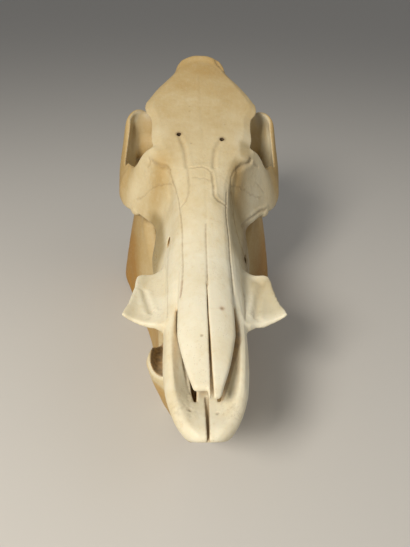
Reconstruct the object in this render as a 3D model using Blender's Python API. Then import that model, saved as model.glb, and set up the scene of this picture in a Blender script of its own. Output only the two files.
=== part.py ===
"""Skull of an adult male wild boar, cranium and lower jaw, as one still model.

Every bone is described by named profile curves along the head (y, from the tip of the
snout backwards), by swept bars and by rounded lumps, all in millimetres.  They are blended
into one distance field, parted into the single bones by thin cuts near the sutures, and
turned into closed meshes.  x is across the head, z is up from the surface it stands on.
"""
import math

import bpy
import numpy as np

for old in list(bpy.data.objects):
    bpy.data.objects.remove(old, do_unlink=True)

# ---------------------------------------------------------------- driving sizes, millimetres
BACK_END = 372.0          # where the profile curves end, behind the crest
BACK_FOOT = 336.0         # y of the back of the head at z = 140
BACK_SLOPE = 0.262        # how far it leans back for each millimetre of height
CREST_HALF = 20.8         # half width of the nuchal crest
NASAL_END = 208.0         # rear end of the nasal bones
NASAL_TIP = 19.0          # tip of the left nasal bone
TIP_STEP = 4.5            # how much shorter the right one is
JAW_TURN = math.radians(1.75)   # the lower jaw lies turned towards -x at the chin
JAW_PIVOT_Y = 290.0
SPLIT = 0.25              # half of the cut between two bones
NASAL_SPLIT = 0.5         # the same round the nasal bones, whose cut is curved
GRID = 1.9                # spacing of the sampling grid
CENTRE = (0.077, 182.064)   # x, y of the middle of the whole, moved to 0, 0

# ---------------------------------------------------------------- profiles of the cranium
# each is a list of (y, value); heights end in _Z and half widths in _X
CROWN_Z = [(2, 85.5), (5, 88), (10, 89), (35, 86), (55, 90), (75, 108), (100, 125), (130, 133.5), (192, 160), (250, 184), (275, 193.5), (325, 214.5), (372, 232)]
SHOULDER_X = [(2, 3), (5, 6), (20, 10), (55, 13), (75, 13), (100, 11), (165, 11.5), (192, 13), (212, 17), (250, 25), (275, 28), (287, 31), (300, 29), (325, 19), (342, 14), (372, 12)]
SHOULDER_Z = [(2, 85.5), (5, 88), (10, 89.5), (35, 89), (55, 97), (75, 108), (100, 123.5), (130, 132.5), (212, 167.5), (250, 183), (275, 192.5), (342, 220.5), (372, 231.5)]
EDGE_X = [(2, 4), (5, 7), (10, 11), (18, 15), (35, 20), (75, 23), (100, 18.5), (165, 18.5), (192, 21), (212, 28), (225, 34.5), (238, 42.5), (250, 45), (263, 45.3), (274, 46.8), (281, 51.5), (287, 55), (292, 54), (298, 50.8), (306, 46.9), (316, 41.2), (326, 34.8), (335, 29), (345, 24.3), (372, 19)]
EDGE_Z = [(2, 85), (5, 87.5), (10, 89.5), (20, 91), (35, 95), (55, 102.5), (75, 108.5), (100, 119.5), (130, 128.5), (165, 142), (192, 154), (275, 188.5), (287, 193), (325, 209.5), (372, 227)]
FLANK_X = [(2, 5), (5, 9.3), (10, 14.2), (18, 19.2), (35, 24.2), (75, 27), (100, 26.2), (130, 26.5), (165, 25), (192, 25), (212, 30.5), (230, 33), (300, 33), (325, 27), (342, 20), (372, 15)]
FLANK_Z = [(2, 84), (5, 86), (20, 89), (35, 92), (55, 98), (75, 104), (100, 113), (130, 119), (165, 130), (192, 141), (250, 158), (287, 173), (325, 188), (342, 197), (372, 208)]
WALL_X = [(2, 4.8), (5, 9.8), (10, 15.2), (18, 20.2), (35, 25.6), (55, 28), (130, 29), (150, 33), (165, 37), (190, 40), (212, 39.5), (230, 35), (250, 30), (287, 35), (325, 42), (342, 34), (372, 30)]
WALL_Z = [(2, 82), (5, 83), (20, 85), (75, 92), (100, 100), (130, 102), (192, 106), (230, 116), (250, 130), (287, 147), (300, 152), (325, 158), (342, 162), (372, 165)]
BORDER_X = [(2, 5), (5, 9), (10, 13.5), (18, 18), (35, 23), (55, 25.5), (100, 27), (130, 31), (165, 40), (192, 41.5), (212, 34), (230, 30), (250, 20), (287, 23), (325, 33), (342, 30), (372, 28)]
BORDER_Z = [(2, 79.5), (10, 78.5), (35, 80), (55, 80.5), (100, 78.5), (165, 76), (212, 76.5), (230, 84), (250, 104), (275, 112), (325, 124), (342, 130), (372, 135)]
PALATE_X = [(2, 4), (5, 7), (35, 18), (55, 20), (130, 20), (192, 16), (212, 16), (230, 14), (250, 10), (300, 12), (372, 12)]
PALATE_Z = [(2, 78.5), (10, 77), (35, 79.5), (55, 79.5), (130, 76), (192, 75.5), (212, 76), (230, 82), (250, 99), (275, 104), (325, 112), (342, 116), (372, 120)]
BASE_Z = [(2, 78.5), (5, 78), (10, 79), (35, 83), (75, 84.5), (192, 81.5), (212, 82), (230, 88), (250, 98), (275, 102), (372, 118)]

# nasal bones
NASAL_TOP_Z = [(14, 101), (22, 104.8), (40, 111), (65, 118.8), (100, 127), (125, 133), (165, 148.5), (206, 166.5), (225, 174)]
NASAL_X = [(14, 4), (20, 7.2), (26, 9.2), (40, 13.6), (56, 17.3), (64, 18.6), (82, 18.7), (100, 18.4), (133, 17.6), (172, 17.0), (190, 14.5), (208, 12), (214, 10)]
NASAL_THICK = [(14, 3.2), (30, 4.5), (60, 6), (100, 7)]

# cheek and arch: outline seen from the side, and how far out its face stands
CHEEK_RING = [
    (190, 112), (196, 127), (205, 143), (215, 157), (226, 168), (235, 172), (242, 167), (248, 158), (255, 151.5),
    (264, 149.5), (273, 152.5), (282, 161), (290, 172), (297, 181), (303, 185.3), (310, 186.3), (316, 184), (321, 176),
    (322, 160), (319, 143), (309, 132), (298, 127), (286, 120), (270, 111.5), (257, 107.5), (246, 110), (236, 111.5), (220, 112), (204, 111),
]
CHEEK_CREST_X = [(186, 31), (196, 35), (206, 41), (216, 48), (226, 55), (236, 62.5), (246, 70), (258, 76.5), (270, 80.5), (282, 81), (294, 78), (306, 74.5), (316, 70), (326, 65)]
CHEEK_UPPER_X = [(186, 27), (196, 27), (206, 30), (216, 34), (226, 39), (235, 45), (242, 51), (249, 57), (258, 62), (270, 66.5), (282, 70), (291, 71.5), (297, 71.8), (303, 69.5), (309, 66.5), (318, 62.5), (326, 58)]
CHEEK_LOW_Z = [(186, 110), (204, 111), (236, 111), (252, 109), (270, 113), (286, 121), (298, 129), (308, 134), (326, 147)]
CHEEK_HIGH_Z = [(186, 120), (196, 128), (215, 157), (226, 168), (235, 172), (242, 167), (248, 158), (256, 151), (268, 150), (280, 158), (290, 170), (304, 185.5), (311, 186.3), (326, 176)]
CHEEK_BEND = [(186, 0.8), (236, 0.95), (250, 1.5), (275, 2.2), (300, 3.0), (326, 3.0)]
CHEEK_THICK = [(215, 14), (240, 10), (256, 7), (272, 5.2), (290, 4.4), (305, 5.5), (316, 8)]
CHEEK_BLOCK_RING = [(190, 113), (196, 127), (205, 143), (215, 157), (226, 167), (235, 171), (241, 165), (247, 156), (256, 150), (263, 146), (264, 124), (254, 112), (238, 112.5), (220, 112.5), (204, 112)]

# shelf over each upper tusk socket, seen from above as (x, y)
WING_PLAN = [(24, 150), (34, 142), (43, 137), (50.5, 131), (51, 120), (52, 108), (54, 97), (57, 85.5), (50, 84.5), (42, 82.5), (34, 80.5), (27, 77.5), (22, 90), (20, 120)]
WING_TOP = [(22, 112), (30, 107), (38, 104.5), (46, 105.5), (58, 108.5)]
WING_THICK = [(22, 14), (29, 7.5), (35, 4.6), (50, 3.6), (58, 2.4)]

# nerve holes of the brow, as (x, y, z)
BROW_HOLES = [(-20.3, 247.5, 182), (17.7, 241.8, 180.2)]

PTERYGOID_RING = [(214, 82), (226, 79), (240, 77.5), (252, 76), (256, 81), (257, 92), (262, 104), (264, 112), (240, 112), (222, 104)]

# cheek teeth: front y, rear y, x, width, height of the chewing surface
UPPER_TEETH = [(91, 98, 23.5, 5, 73), (103, 114, 24.3, 6.5, 67.5), (115, 127, 25, 9, 66), (128, 140, 26, 12, 65.6), (141, 157, 27, 14.5, 65.4), (158, 179, 27.5, 17.5, 65.4), (180, 214, 27, 18, 65.6)]
LOWER_TEETH = [(105, 114, 22.5, 5, 62.5), (115, 127, 23, 6.5, 64), (128, 141, 24, 8.5, 64.6), (142, 157, 24.5, 11.5, 64.6), (158, 178, 25, 14, 64.6), (179, 216, 26, 15.5, 64.6)]

# ---------------------------------------------------------------- profiles of the lower jaw, before it is turned
CHIN_TOP_Z = [(22, 64), (27, 65), (34, 65), (42, 62), (51, 58), (68, 47), (79, 41), (102, 24), (112, 14)]
CHIN_RIM_X = [(22, 1.5), (34, 6), (42, 6), (68, 11), (79, 13), (91, 13), (102, 14), (112, 14)]
CHIN_RIM_Z = [(22, 64), (27, 66), (34, 67), (42, 67), (51, 68), (60, 68), (68, 67), (79, 66), (91, 62), (102, 56), (112, 52)]
SOCKET_X = [(22, 3), (27, 6), (34, 10), (42, 10.4), (51, 13.6), (60, 21.5), (68, 29), (79, 33), (91, 31.5), (102, 28), (112, 24)]
SOCKET_Z = [(22, 63), (27, 65), (42, 67), (51, 71), (68, 75.5), (79, 75.5), (91, 73), (102, 67), (112, 57)]
CHIN_SIDE_X = [(22, 2.6), (27, 5.6), (34, 9.5), (42, 10), (51, 13), (60, 20.5), (68, 28), (79, 32), (91, 30), (102, 26.5), (112, 26)]
CHIN_SIDE_Z = [(22, 60), (34, 56), (51, 54), (68, 57), (79, 58), (102, 42), (112, 38)]
TUSK_SOCKET = [(21.5, 57, 84, 3.6, 6), (23.8, 68, 79, 5.6, 7), (24.8, 79, 76, 6.2, 8), (25.0, 92, 73, 5.8, 8), (24.0, 106, 67, 4.6, 7)]     # (x, y, z, half width, half height)
CHIN_KEEL_X = [(22, 1.6), (27, 3.5), (51, 9.5), (79, 16.5), (102, 20), (112, 22)]
CHIN_KEEL_Z = [(22, 58), (27, 52), (51, 31), (91, 5.5), (102, 3), (112, 2.5)]
CHIN_BASE_Z = [(22, 57.5), (27, 51), (42, 35), (51, 27), (68, 12.5), (91, 2.5), (102, 2), (112, 3)]
RAMUS_RING = [
    (96, 50), (106, 55.5), (125, 54), (150, 53.5), (180, 54.5), (212, 57), (226, 64), (236, 78), (244, 94), (252, 111), (261, 128), (269, 137.5), (276.5, 134.5),
    (284, 125), (291, 121), (297, 126.5), (304, 131), (311, 129), (313.5, 122), (314, 112), (319, 96), (326, 77), (330, 58), (328, 40), (317, 21), (300, 9),
    (278, 2), (255, -1), (225, -1.2), (190, -1.2), (150, -1.2), (120, -1.2), (100, -0.6),
]
RAMUS_BASE_X = [(96, 18), (112, 20), (130, 23.5), (158, 31), (180, 37), (205, 46), (222, 52.5), (240, 60.5), (262, 71), (285, 79), (305, 80), (330, 76)]
RAMUS_TOP_X = [(96, 20), (130, 23), (160, 24.5), (200, 27), (220, 32), (235, 40), (250, 48), (270, 53), (300, 57), (330, 57)]
RAMUS_TOP_Z = [(96, 54), (212, 58), (226, 74), (252, 104), (269, 118), (300, 118), (330, 110)]
RAMUS_BEND = [(96, 0.95), (180, 0.95), (230, 1.1), (290, 1.45), (330, 1.4)]
RAMUS_THICK = [(96, 7.5), (150, 8.2), (215, 7.8), (240, 5.0), (262, 3.4), (330, 3.2)]


# ---------------------------------------------------------------- numbers
def line(pairs):
    """Straight-line interpolation through (t, value) pairs."""
    t, v = [p[0] for p in pairs], [p[1] for p in pairs]
    return lambda q: np.interp(q, t, v).astype(np.float32)


def curve(pairs, n=400):
    """Smooth interpolation through (t, value) pairs that never overshoots."""
    t = np.array([p[0] for p in pairs], float)
    v = np.array([p[1] for p in pairs], float)
    h = np.diff(t)
    s = np.diff(v) / h
    m = np.zeros(len(t))
    for i in range(1, len(t) - 1):
        if s[i - 1] * s[i] > 0:
            w1, w2 = 2 * h[i] + h[i - 1], h[i] + 2 * h[i - 1]
            m[i] = (w1 + w2) / (w1 / s[i - 1] + w2 / s[i])
    m[0], m[-1] = s[0], s[-1]
    tt = np.linspace(t[0], t[-1], n)
    k = np.clip(np.searchsorted(t, tt, side="right") - 1, 0, len(t) - 2)
    u = (tt - t[k]) / h[k]
    vv = (
        (1 + 2 * u) * (1 - u) ** 2 * v[k]
        + u * (1 - u) ** 2 * h[k] * m[k]
        + u * u * (3 - 2 * u) * v[k + 1]
        + u * u * (u - 1) * h[k] * m[k + 1]
    )
    return line(list(zip(tt, vv)))


def smin(a, b, k):
    """Smaller of two distances with a rounded join of width k."""
    if k <= 0:
        return np.minimum(a, b)
    h = np.maximum(k - np.abs(a - b), 0) / k
    return np.minimum(a, b) - h * h * (k * 0.25)


def smax(a, b, k):
    return -smin(-a, -b, k)


def sstep(a, b, x):
    u = np.clip((x - a) / (b - a), 0, 1)
    return u * u * (3 - 2 * u)


def box_of(lo, hi):
    return np.array(lo, float), np.array(hi, float)


# ---------------------------------------------------------------- shapes
# A shape is (distance function of x, y, z, low corner, high corner).
def ellipsoid(c, r, rot=(0, 0, 0)):
    a, b, g = (math.radians(v) for v in rot)
    mx = np.array([[1, 0, 0], [0, math.cos(a), -math.sin(a)], [0, math.sin(a), math.cos(a)]])
    my = np.array([[math.cos(b), 0, math.sin(b)], [0, 1, 0], [-math.sin(b), 0, math.cos(b)]])
    mz = np.array([[math.cos(g), -math.sin(g), 0], [math.sin(g), math.cos(g), 0], [0, 0, 1]])
    A = (mz @ my @ mx).T
    ext = np.sqrt(((A * np.array(r)[:, None]) ** 2).sum(0))

    def f(x, y, z):
        dx, dy, dz = x - c[0], y - c[1], z - c[2]
        q = [A[i, 0] * dx + A[i, 1] * dy + A[i, 2] * dz for i in range(3)]
        k0 = np.sqrt(sum((q[i] / r[i]) ** 2 for i in range(3))) + 1e-6
        k1 = np.sqrt(sum((q[i] / r[i] ** 2) ** 2 for i in range(3))) + 1e-6
        return k0 * (k0 - 1) / k1

    return f, np.array(c) - ext, np.array(c) + ext


def catmull(P, per, closed=False):
    """Smooth line through points; closed makes a ring."""
    P = np.array(P, float)
    n = len(P)
    out = []
    for i in range(n if closed else n - 1):
        p0 = P[i - 1] if closed else P[max(i - 1, 0)]
        p1, p2 = P[i], P[(i + 1) % n]
        p3 = P[(i + 2) % n] if closed else P[min(i + 2, n - 1)]
        for j in range(per):
            t = j / per
            out.append(0.5 * (2 * p1 + (p2 - p0) * t + (2 * p0 - 5 * p1 + 4 * p2 - p3) * t * t + (3 * p1 - p0 - 3 * p2 + p3) * t ** 3))
    if not closed:
        out.append(P[-1])
    return np.array(out)


def sweep(rows, up=(0, 0, 1), per=4):
    """Bar along a path of (x, y, z, half width across, half width along up)."""
    R = catmull(rows, per)
    up = np.array(up, float)
    P, S = R[:, :3], R[:, 3:5]
    rad = S.max(1)
    lo, hi = (P - rad[:, None]).min(0), (P + rad[:, None]).max(0)

    def f(x, y, z):
        best = None
        for i in range(len(P) - 1):
            a, b = P[i], P[i + 1]
            d = b - a
            L = float(d @ d) + 1e-9
            t = np.clip(((x - a[0]) * d[0] + (y - a[1]) * d[1] + (z - a[2]) * d[2]) / L, 0, 1)
            qx, qy, qz = x - (a[0] + t * d[0]), y - (a[1] + t * d[1]), z - (a[2] + t * d[2])
            T = d / math.sqrt(L)
            U = up - (up @ T) * T
            U /= np.linalg.norm(U) + 1e-9
            W = np.cross(T, U)
            ra = S[i, 0] + t * (S[i + 1, 0] - S[i, 0])
            rb = S[i, 1] + t * (S[i + 1, 1] - S[i, 1])
            rc = np.minimum(ra, rb)
            qs = qx * W[0] + qy * W[1] + qz * W[2]
            qu = qx * U[0] + qy * U[1] + qz * U[2]
            qt = qx * T[0] + qy * T[1] + qz * T[2]
            k0 = np.sqrt((qs / ra) ** 2 + (qu / rb) ** 2 + (qt / rc) ** 2) + 1e-6
            k1 = np.sqrt((qs / ra ** 2) ** 2 + (qu / rb ** 2) ** 2 + (qt / rc ** 2) ** 2) + 1e-6
            v = k0 * (k0 - 1) / k1
            best = v if best is None else np.minimum(best, v)
        return best

    return f, lo, hi


def ring_distance(u, v, V):
    """Signed distance to a closed outline, negative inside."""
    n = len(V)
    d = None
    s = np.ones(u.shape, np.float32)
    for i in range(n):
        a, b = V[i], V[(i + 1) % n]
        ex, ey = float(b[0] - a[0]), float(b[1] - a[1])
        wx, wy = u - a[0], v - a[1]
        t = np.clip((wx * ex + wy * ey) / (ex * ex + ey * ey + 1e-12), 0, 1)
        dd = (wx - ex * t) ** 2 + (wy - ey * t) ** 2
        d = dd if d is None else np.minimum(d, dd)
        c1, c2, c3 = v >= a[1], v < b[1], ex * wy > ey * wx
        s = np.where((c1 & c2 & c3) | (~c1 & ~c2 & ~c3), -s, s)
    return s * np.sqrt(d)


def loft(sections, y0, y1, edge):
    """Body whose half outline, from the top midline round to the bottom midline, is given
    by pairs of profile curves (x, z) along y; the other half is its mirror image."""
    zero = [(y0 - 50, 0), (y1 + 50, 0)]
    C = [(curve(px or zero), curve(pz)) for px, pz in sections]
    K = len(C)
    xm = max(v for px, pz in sections if px for _, v in px)
    zs = [v for px, pz in sections for _, v in pz]
    ya, yb = sections[0][1][0][0], sections[0][1][-1][0]

    def f(x, y, z):
        ax = np.abs(x)
        yc = np.clip(y, ya, yb)
        P = [(cx(yc), cz(yc)) for cx, cz in C]
        G = [(-P[1][0], P[1][1])] + P + [(-P[-2][0], P[-2][1])]
        V = []
        for i in range(1, K + 1):
            V.append(G[i])
            if i < K:
                V.append(tuple((-G[i - 1][c] + 9 * G[i][c] + 9 * G[i + 1][c] - G[i + 2][c]) / 16 for c in (0, 1)))
        n = len(V)
        d = None
        s = np.ones(ax.shape, bool)
        for i in range(n):
            a, b = V[i], V[(i + 1) % n]
            ex, ey = b[0] - a[0], b[1] - a[1]
            wx, wy = ax - a[0], z - a[1]
            if i < n - 1:
                t = np.clip((wx * ex + wy * ey) / (ex * ex + ey * ey + 1e-9), 0, 1)
                dd = (wx - ex * t) ** 2 + (wy - ey * t) ** 2
                d = dd if d is None else np.minimum(d, dd)
            c1, c2, c3 = z >= a[1], z < b[1], ex * wy > ey * wx
            s ^= (c1 & c2 & c3) | (~c1 & ~c2 & ~c3)
        d = np.where(s, np.sqrt(d), -np.sqrt(d))
        return smax(smax(d, y0 - y, edge), y - y1, edge)

    return f, *box_of((-xm, y0, min(zs)), (xm, y1, max(zs)))


def mirrored(shape):
    f, lo, hi = shape
    return (lambda x, y, z: f(np.abs(x), y, z)), np.array([-hi[0], lo[1], lo[2]]), np.array([hi[0], hi[1], hi[2]])


class Solid:
    """Additions and cuts, each worked out only near its own box."""

    def __init__(self):
        self.ops = []

    def add(self, shape, k=3.0, both=False):
        self.ops.append((1, mirrored(shape) if both else shape, k))

    def cut(self, shape, k=1.5, both=False):
        self.ops.append((-1, mirrored(shape) if both else shape, k))

    def bounds(self):
        lo = np.min([s[1] for g, s, k in self.ops if g > 0], 0)
        hi = np.max([s[2] for g, s, k in self.ops if g > 0], 0)
        return lo, hi

    def __call__(self, x, y, z, reach=6.0):
        d = np.full(x.shape, 50.0, np.float32)
        for g, (f, lo, hi), k in self.ops:
            m = reach + k
            i = np.flatnonzero(
                (x > lo[0] - m) & (x < hi[0] + m)
                & (y > lo[1] - m) & (y < hi[1] + m)
                & (z > lo[2] - m) & (z < hi[2] + m)
            )
            if len(i):
                v = f(x[i], y[i], z[i]).astype(np.float32)
                d[i] = smin(d[i], v, k) if g > 0 else smax(d[i], -v, k)
        return d


# ---------------------------------------------------------------- bones of the cranium
nasal_top, nasal_x, nasal_thick = curve(NASAL_TOP_Z), curve(NASAL_X), line(NASAL_THICK)
crest_x, upper_x = curve(CHEEK_CREST_X), curve(CHEEK_UPPER_X)
low_z, high_z, cheek_bend, cheek_thick = curve(CHEEK_LOW_Z), curve(CHEEK_HIGH_Z), curve(CHEEK_BEND), line(CHEEK_THICK)


def nasal_roof(x, y):
    """Height of the vaulted top of the nasal bones."""
    return nasal_top(y) - 5.2 * (np.abs(x) / 18.5) ** 2.4


def nasals():
    def f(x, y, z):
        top = nasal_roof(x, y)
        d = smax((z - top) * 0.95, (top - nasal_thick(y) - z) * 0.95, 0)
        d = smax(d, np.abs(x) - nasal_x(y), 2.2)
        d = smax(d, NASAL_TIP + np.where(x < 0, TIP_STEP, 0) - y, 2.5)
        return smax(d, y - NASAL_END - 6, 4)
    return f, *box_of((-20, 15, 92), (20, 216, 176))


def cheek_face(y, z):
    """How far out the face of the cheek and the arch stands."""
    zl, zh = low_z(y), high_z(y)
    s = np.clip((z - zl) / np.maximum(zh - zl, 1), 0, 1.05)
    xo = crest_x(y) + (upper_x(y) - crest_x(y)) * s ** cheek_bend(y)
    return (xo - 3 * np.clip((zl - z) / 10, 0, 1) ** 2).astype(np.float32)


def cheek_plate():
    ring = catmull(CHEEK_RING, 2, True)

    def f(x, y, z):
        ax, xo = np.abs(x), cheek_face(y, z)
        s = (z - low_z(y)) / np.maximum(high_z(y) - low_z(y), 1)
        ledge = 7 * sstep(0.75, 0.2, s) * sstep(258, 272, y) * sstep(306, 296, y)
        d = smax((ax - xo) * 0.85, (xo - cheek_thick(y) - ledge - ax) * 0.85, 2.0)
        return smax(d, ring_distance(y, z, ring), 4.5)
    return f, *box_of((-84, 188, 98), (84, 326, 195))


def cheek_block():
    """Solid bone between the face and the plate, in front of the orbit."""
    ring = catmull(CHEEK_BLOCK_RING, 2, True)

    def f(x, y, z):
        ax = np.abs(x)
        d = smax((ax - cheek_face(y, z)) * 0.85, 18 - ax, 1.0)
        return smax(d, ring_distance(y, z, ring), 3)
    return f, *box_of((-80, 188, 104), (80, 268, 174))


def wing():
    """Bony shelf over the socket of the upper tusk, thin at its rim."""
    plan, top_z, thick = catmull(WING_PLAN, 2, True), curve(WING_TOP), line(WING_THICK)

    def f(x, y, z):
        ax = np.abs(x)
        top = top_z(ax) + 2.2 * np.exp(-((ax - 50 + (y - 120) * 0.16) / 4.5) ** 2) + 0.04 * (y - 105)
        d = smax((z - top) * 0.9, (top - thick(ax) - z) * 0.8, 2)
        return smax(d, ring_distance(ax, y, plan), 2.2)
    return f, *box_of((-60, 74, 78), (60, 152, 118))


def pterygoid():
    ring = catmull(PTERYGOID_RING, 2, True)
    f = lambda x, y, z: smax(np.abs(np.abs(x) - 14.5 - 0.05 * (y - 235)) - 2.4, ring_distance(y, z, ring), 2)
    return f, *box_of((-20, 212, 74), (20, 266, 114))


def tooth(y0, y1, x, w, root, tip):
    """Crown with one, two or three lobes and low cusps."""
    cy, hy, hx = (y0 + y1) / 2, (y1 - y0) / 2, w / 2
    zc, hz, r = (root + tip) / 2, abs(root - tip) / 2, 1.8
    n = 1 if hy < 9 else (2 if hy < 14 else 3)
    up = 1 if tip > root else -1

    def f(px, y, z):
        u = (y - cy) / hy
        ww = hx * (1 - 0.08 * (1 + np.cos(math.pi * n * (u + 1))) - (0.18 * np.clip(u, 0, 1) ** 2 if n == 3 else 0))
        qx, qy, qz = np.abs(px - x) - ww + r, np.abs(y - cy) - hy + r, np.abs(z - zc) - hz + r
        d = np.sqrt(np.maximum(qx, 0) ** 2 + np.maximum(qy, 0) ** 2 + np.maximum(qz, 0) ** 2) + np.minimum(np.maximum(qx, np.maximum(qy, qz)), 0) - r
        cusps = 0.45 * np.cos(math.pi * (px - x) / hx) + 0.4 * np.cos(2 * math.pi * n * (y - y0) / (y1 - y0))
        return smax(d, (z - tip) * up + 1.1 + cusps * 0.9, 1)
    return f, *box_of((x - hx, y0, min(root, tip)), (x + hx, y1, max(root, tip)))


def temporal_hollow():
    """Bowl between braincase and arch, open below for the jaw's upper end."""
    inner_x = line([(246, 34), (275, 33), (300, 35), (312, 40)])
    roof_z = line([(246, 166), (275, 177), (300, 187), (312, 192)])

    def f(x, y, z):
        ax = np.abs(x)
        inner = inner_x(y) + np.clip(z - roof_z(y), 0, 30) * 1.7
        lean = np.clip((z - 150) / 40, -0.6, 1)
        q = (np.abs((ax - 44) / (29.5 - lean)) ** 2.4 + np.abs((y - 262) / (39 + 2 * lean)) ** 2.4) ** (1 / 2.4)
        front = (250 - 9 * (1 - sstep(122, 146, z)) + 0.5 * np.clip(ax - 46, 0, 30) + 0.9 * np.clip(ax - 58, 0, 12) - y) * 0.8
        return smax(smax((q - 1) * 27, inner - ax, 2), smax(z - 205, front, 4), 3)
    return f, *box_of((-76, 234, 98), (76, 304, 206))


def nasal_cavity():
    top = curve([(-5, 110), (30, 108), (60, 113), (90, 117), (120, 122), (160, 130)])
    floor = curve([(-5, 90), (20, 89.5), (40, 87), (60, 88), (100, 92), (160, 98)])
    half = curve([(-5, 9), (14, 11), (25, 15), (40, 19.5), (60, 20.5), (80, 19.5), (110, 16), (160, 12)])

    def f(x, y, z):
        a, b = top(y), floor(y)
        u = np.clip((z - b) / np.maximum(a - b, 1), 0, 1)
        side = 1 - 0.19 * sstep(75, 55, y)     # the walls stand further in towards the front
        d = smax(smax(b - z, z - a, 0) * 0.9, (np.abs(x) - side * half(y) * (0.45 + 0.62 * np.sqrt(u))) * 0.85, 6)
        return smax(smax(d, y - 150, 8), 13.5 - y, 8)
    return f, *box_of((-22, 8, 84), (22, 156, 134))


def midline_gap():
    """Open gap between the tips of the nasal bones and between the premaxillae."""
    lean = line([(0, 1.6), (22, 2.0), (45, 1.6), (80, 1.1), (110, 1.3)])
    nasal_gap = line([(14, 1.15), (25, 1.1), (45, 0.75), (70, 0.45), (95, 0.3), (110, 0.2)])
    front_gap = line([(0, 0.6), (3, 0.7), (8, 1.0), (20, 1.35), (30, 1.4)])

    def f(x, y, z):
        up = z > 98
        d = np.abs(x - np.where(up, lean(y), -0.3)) - np.where(up, nasal_gap(y), front_gap(y))
        return np.maximum(d, y - np.where(up, 110, 34))
    return f, *box_of((-4, -2, 70), (4, 112, 136))


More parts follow.
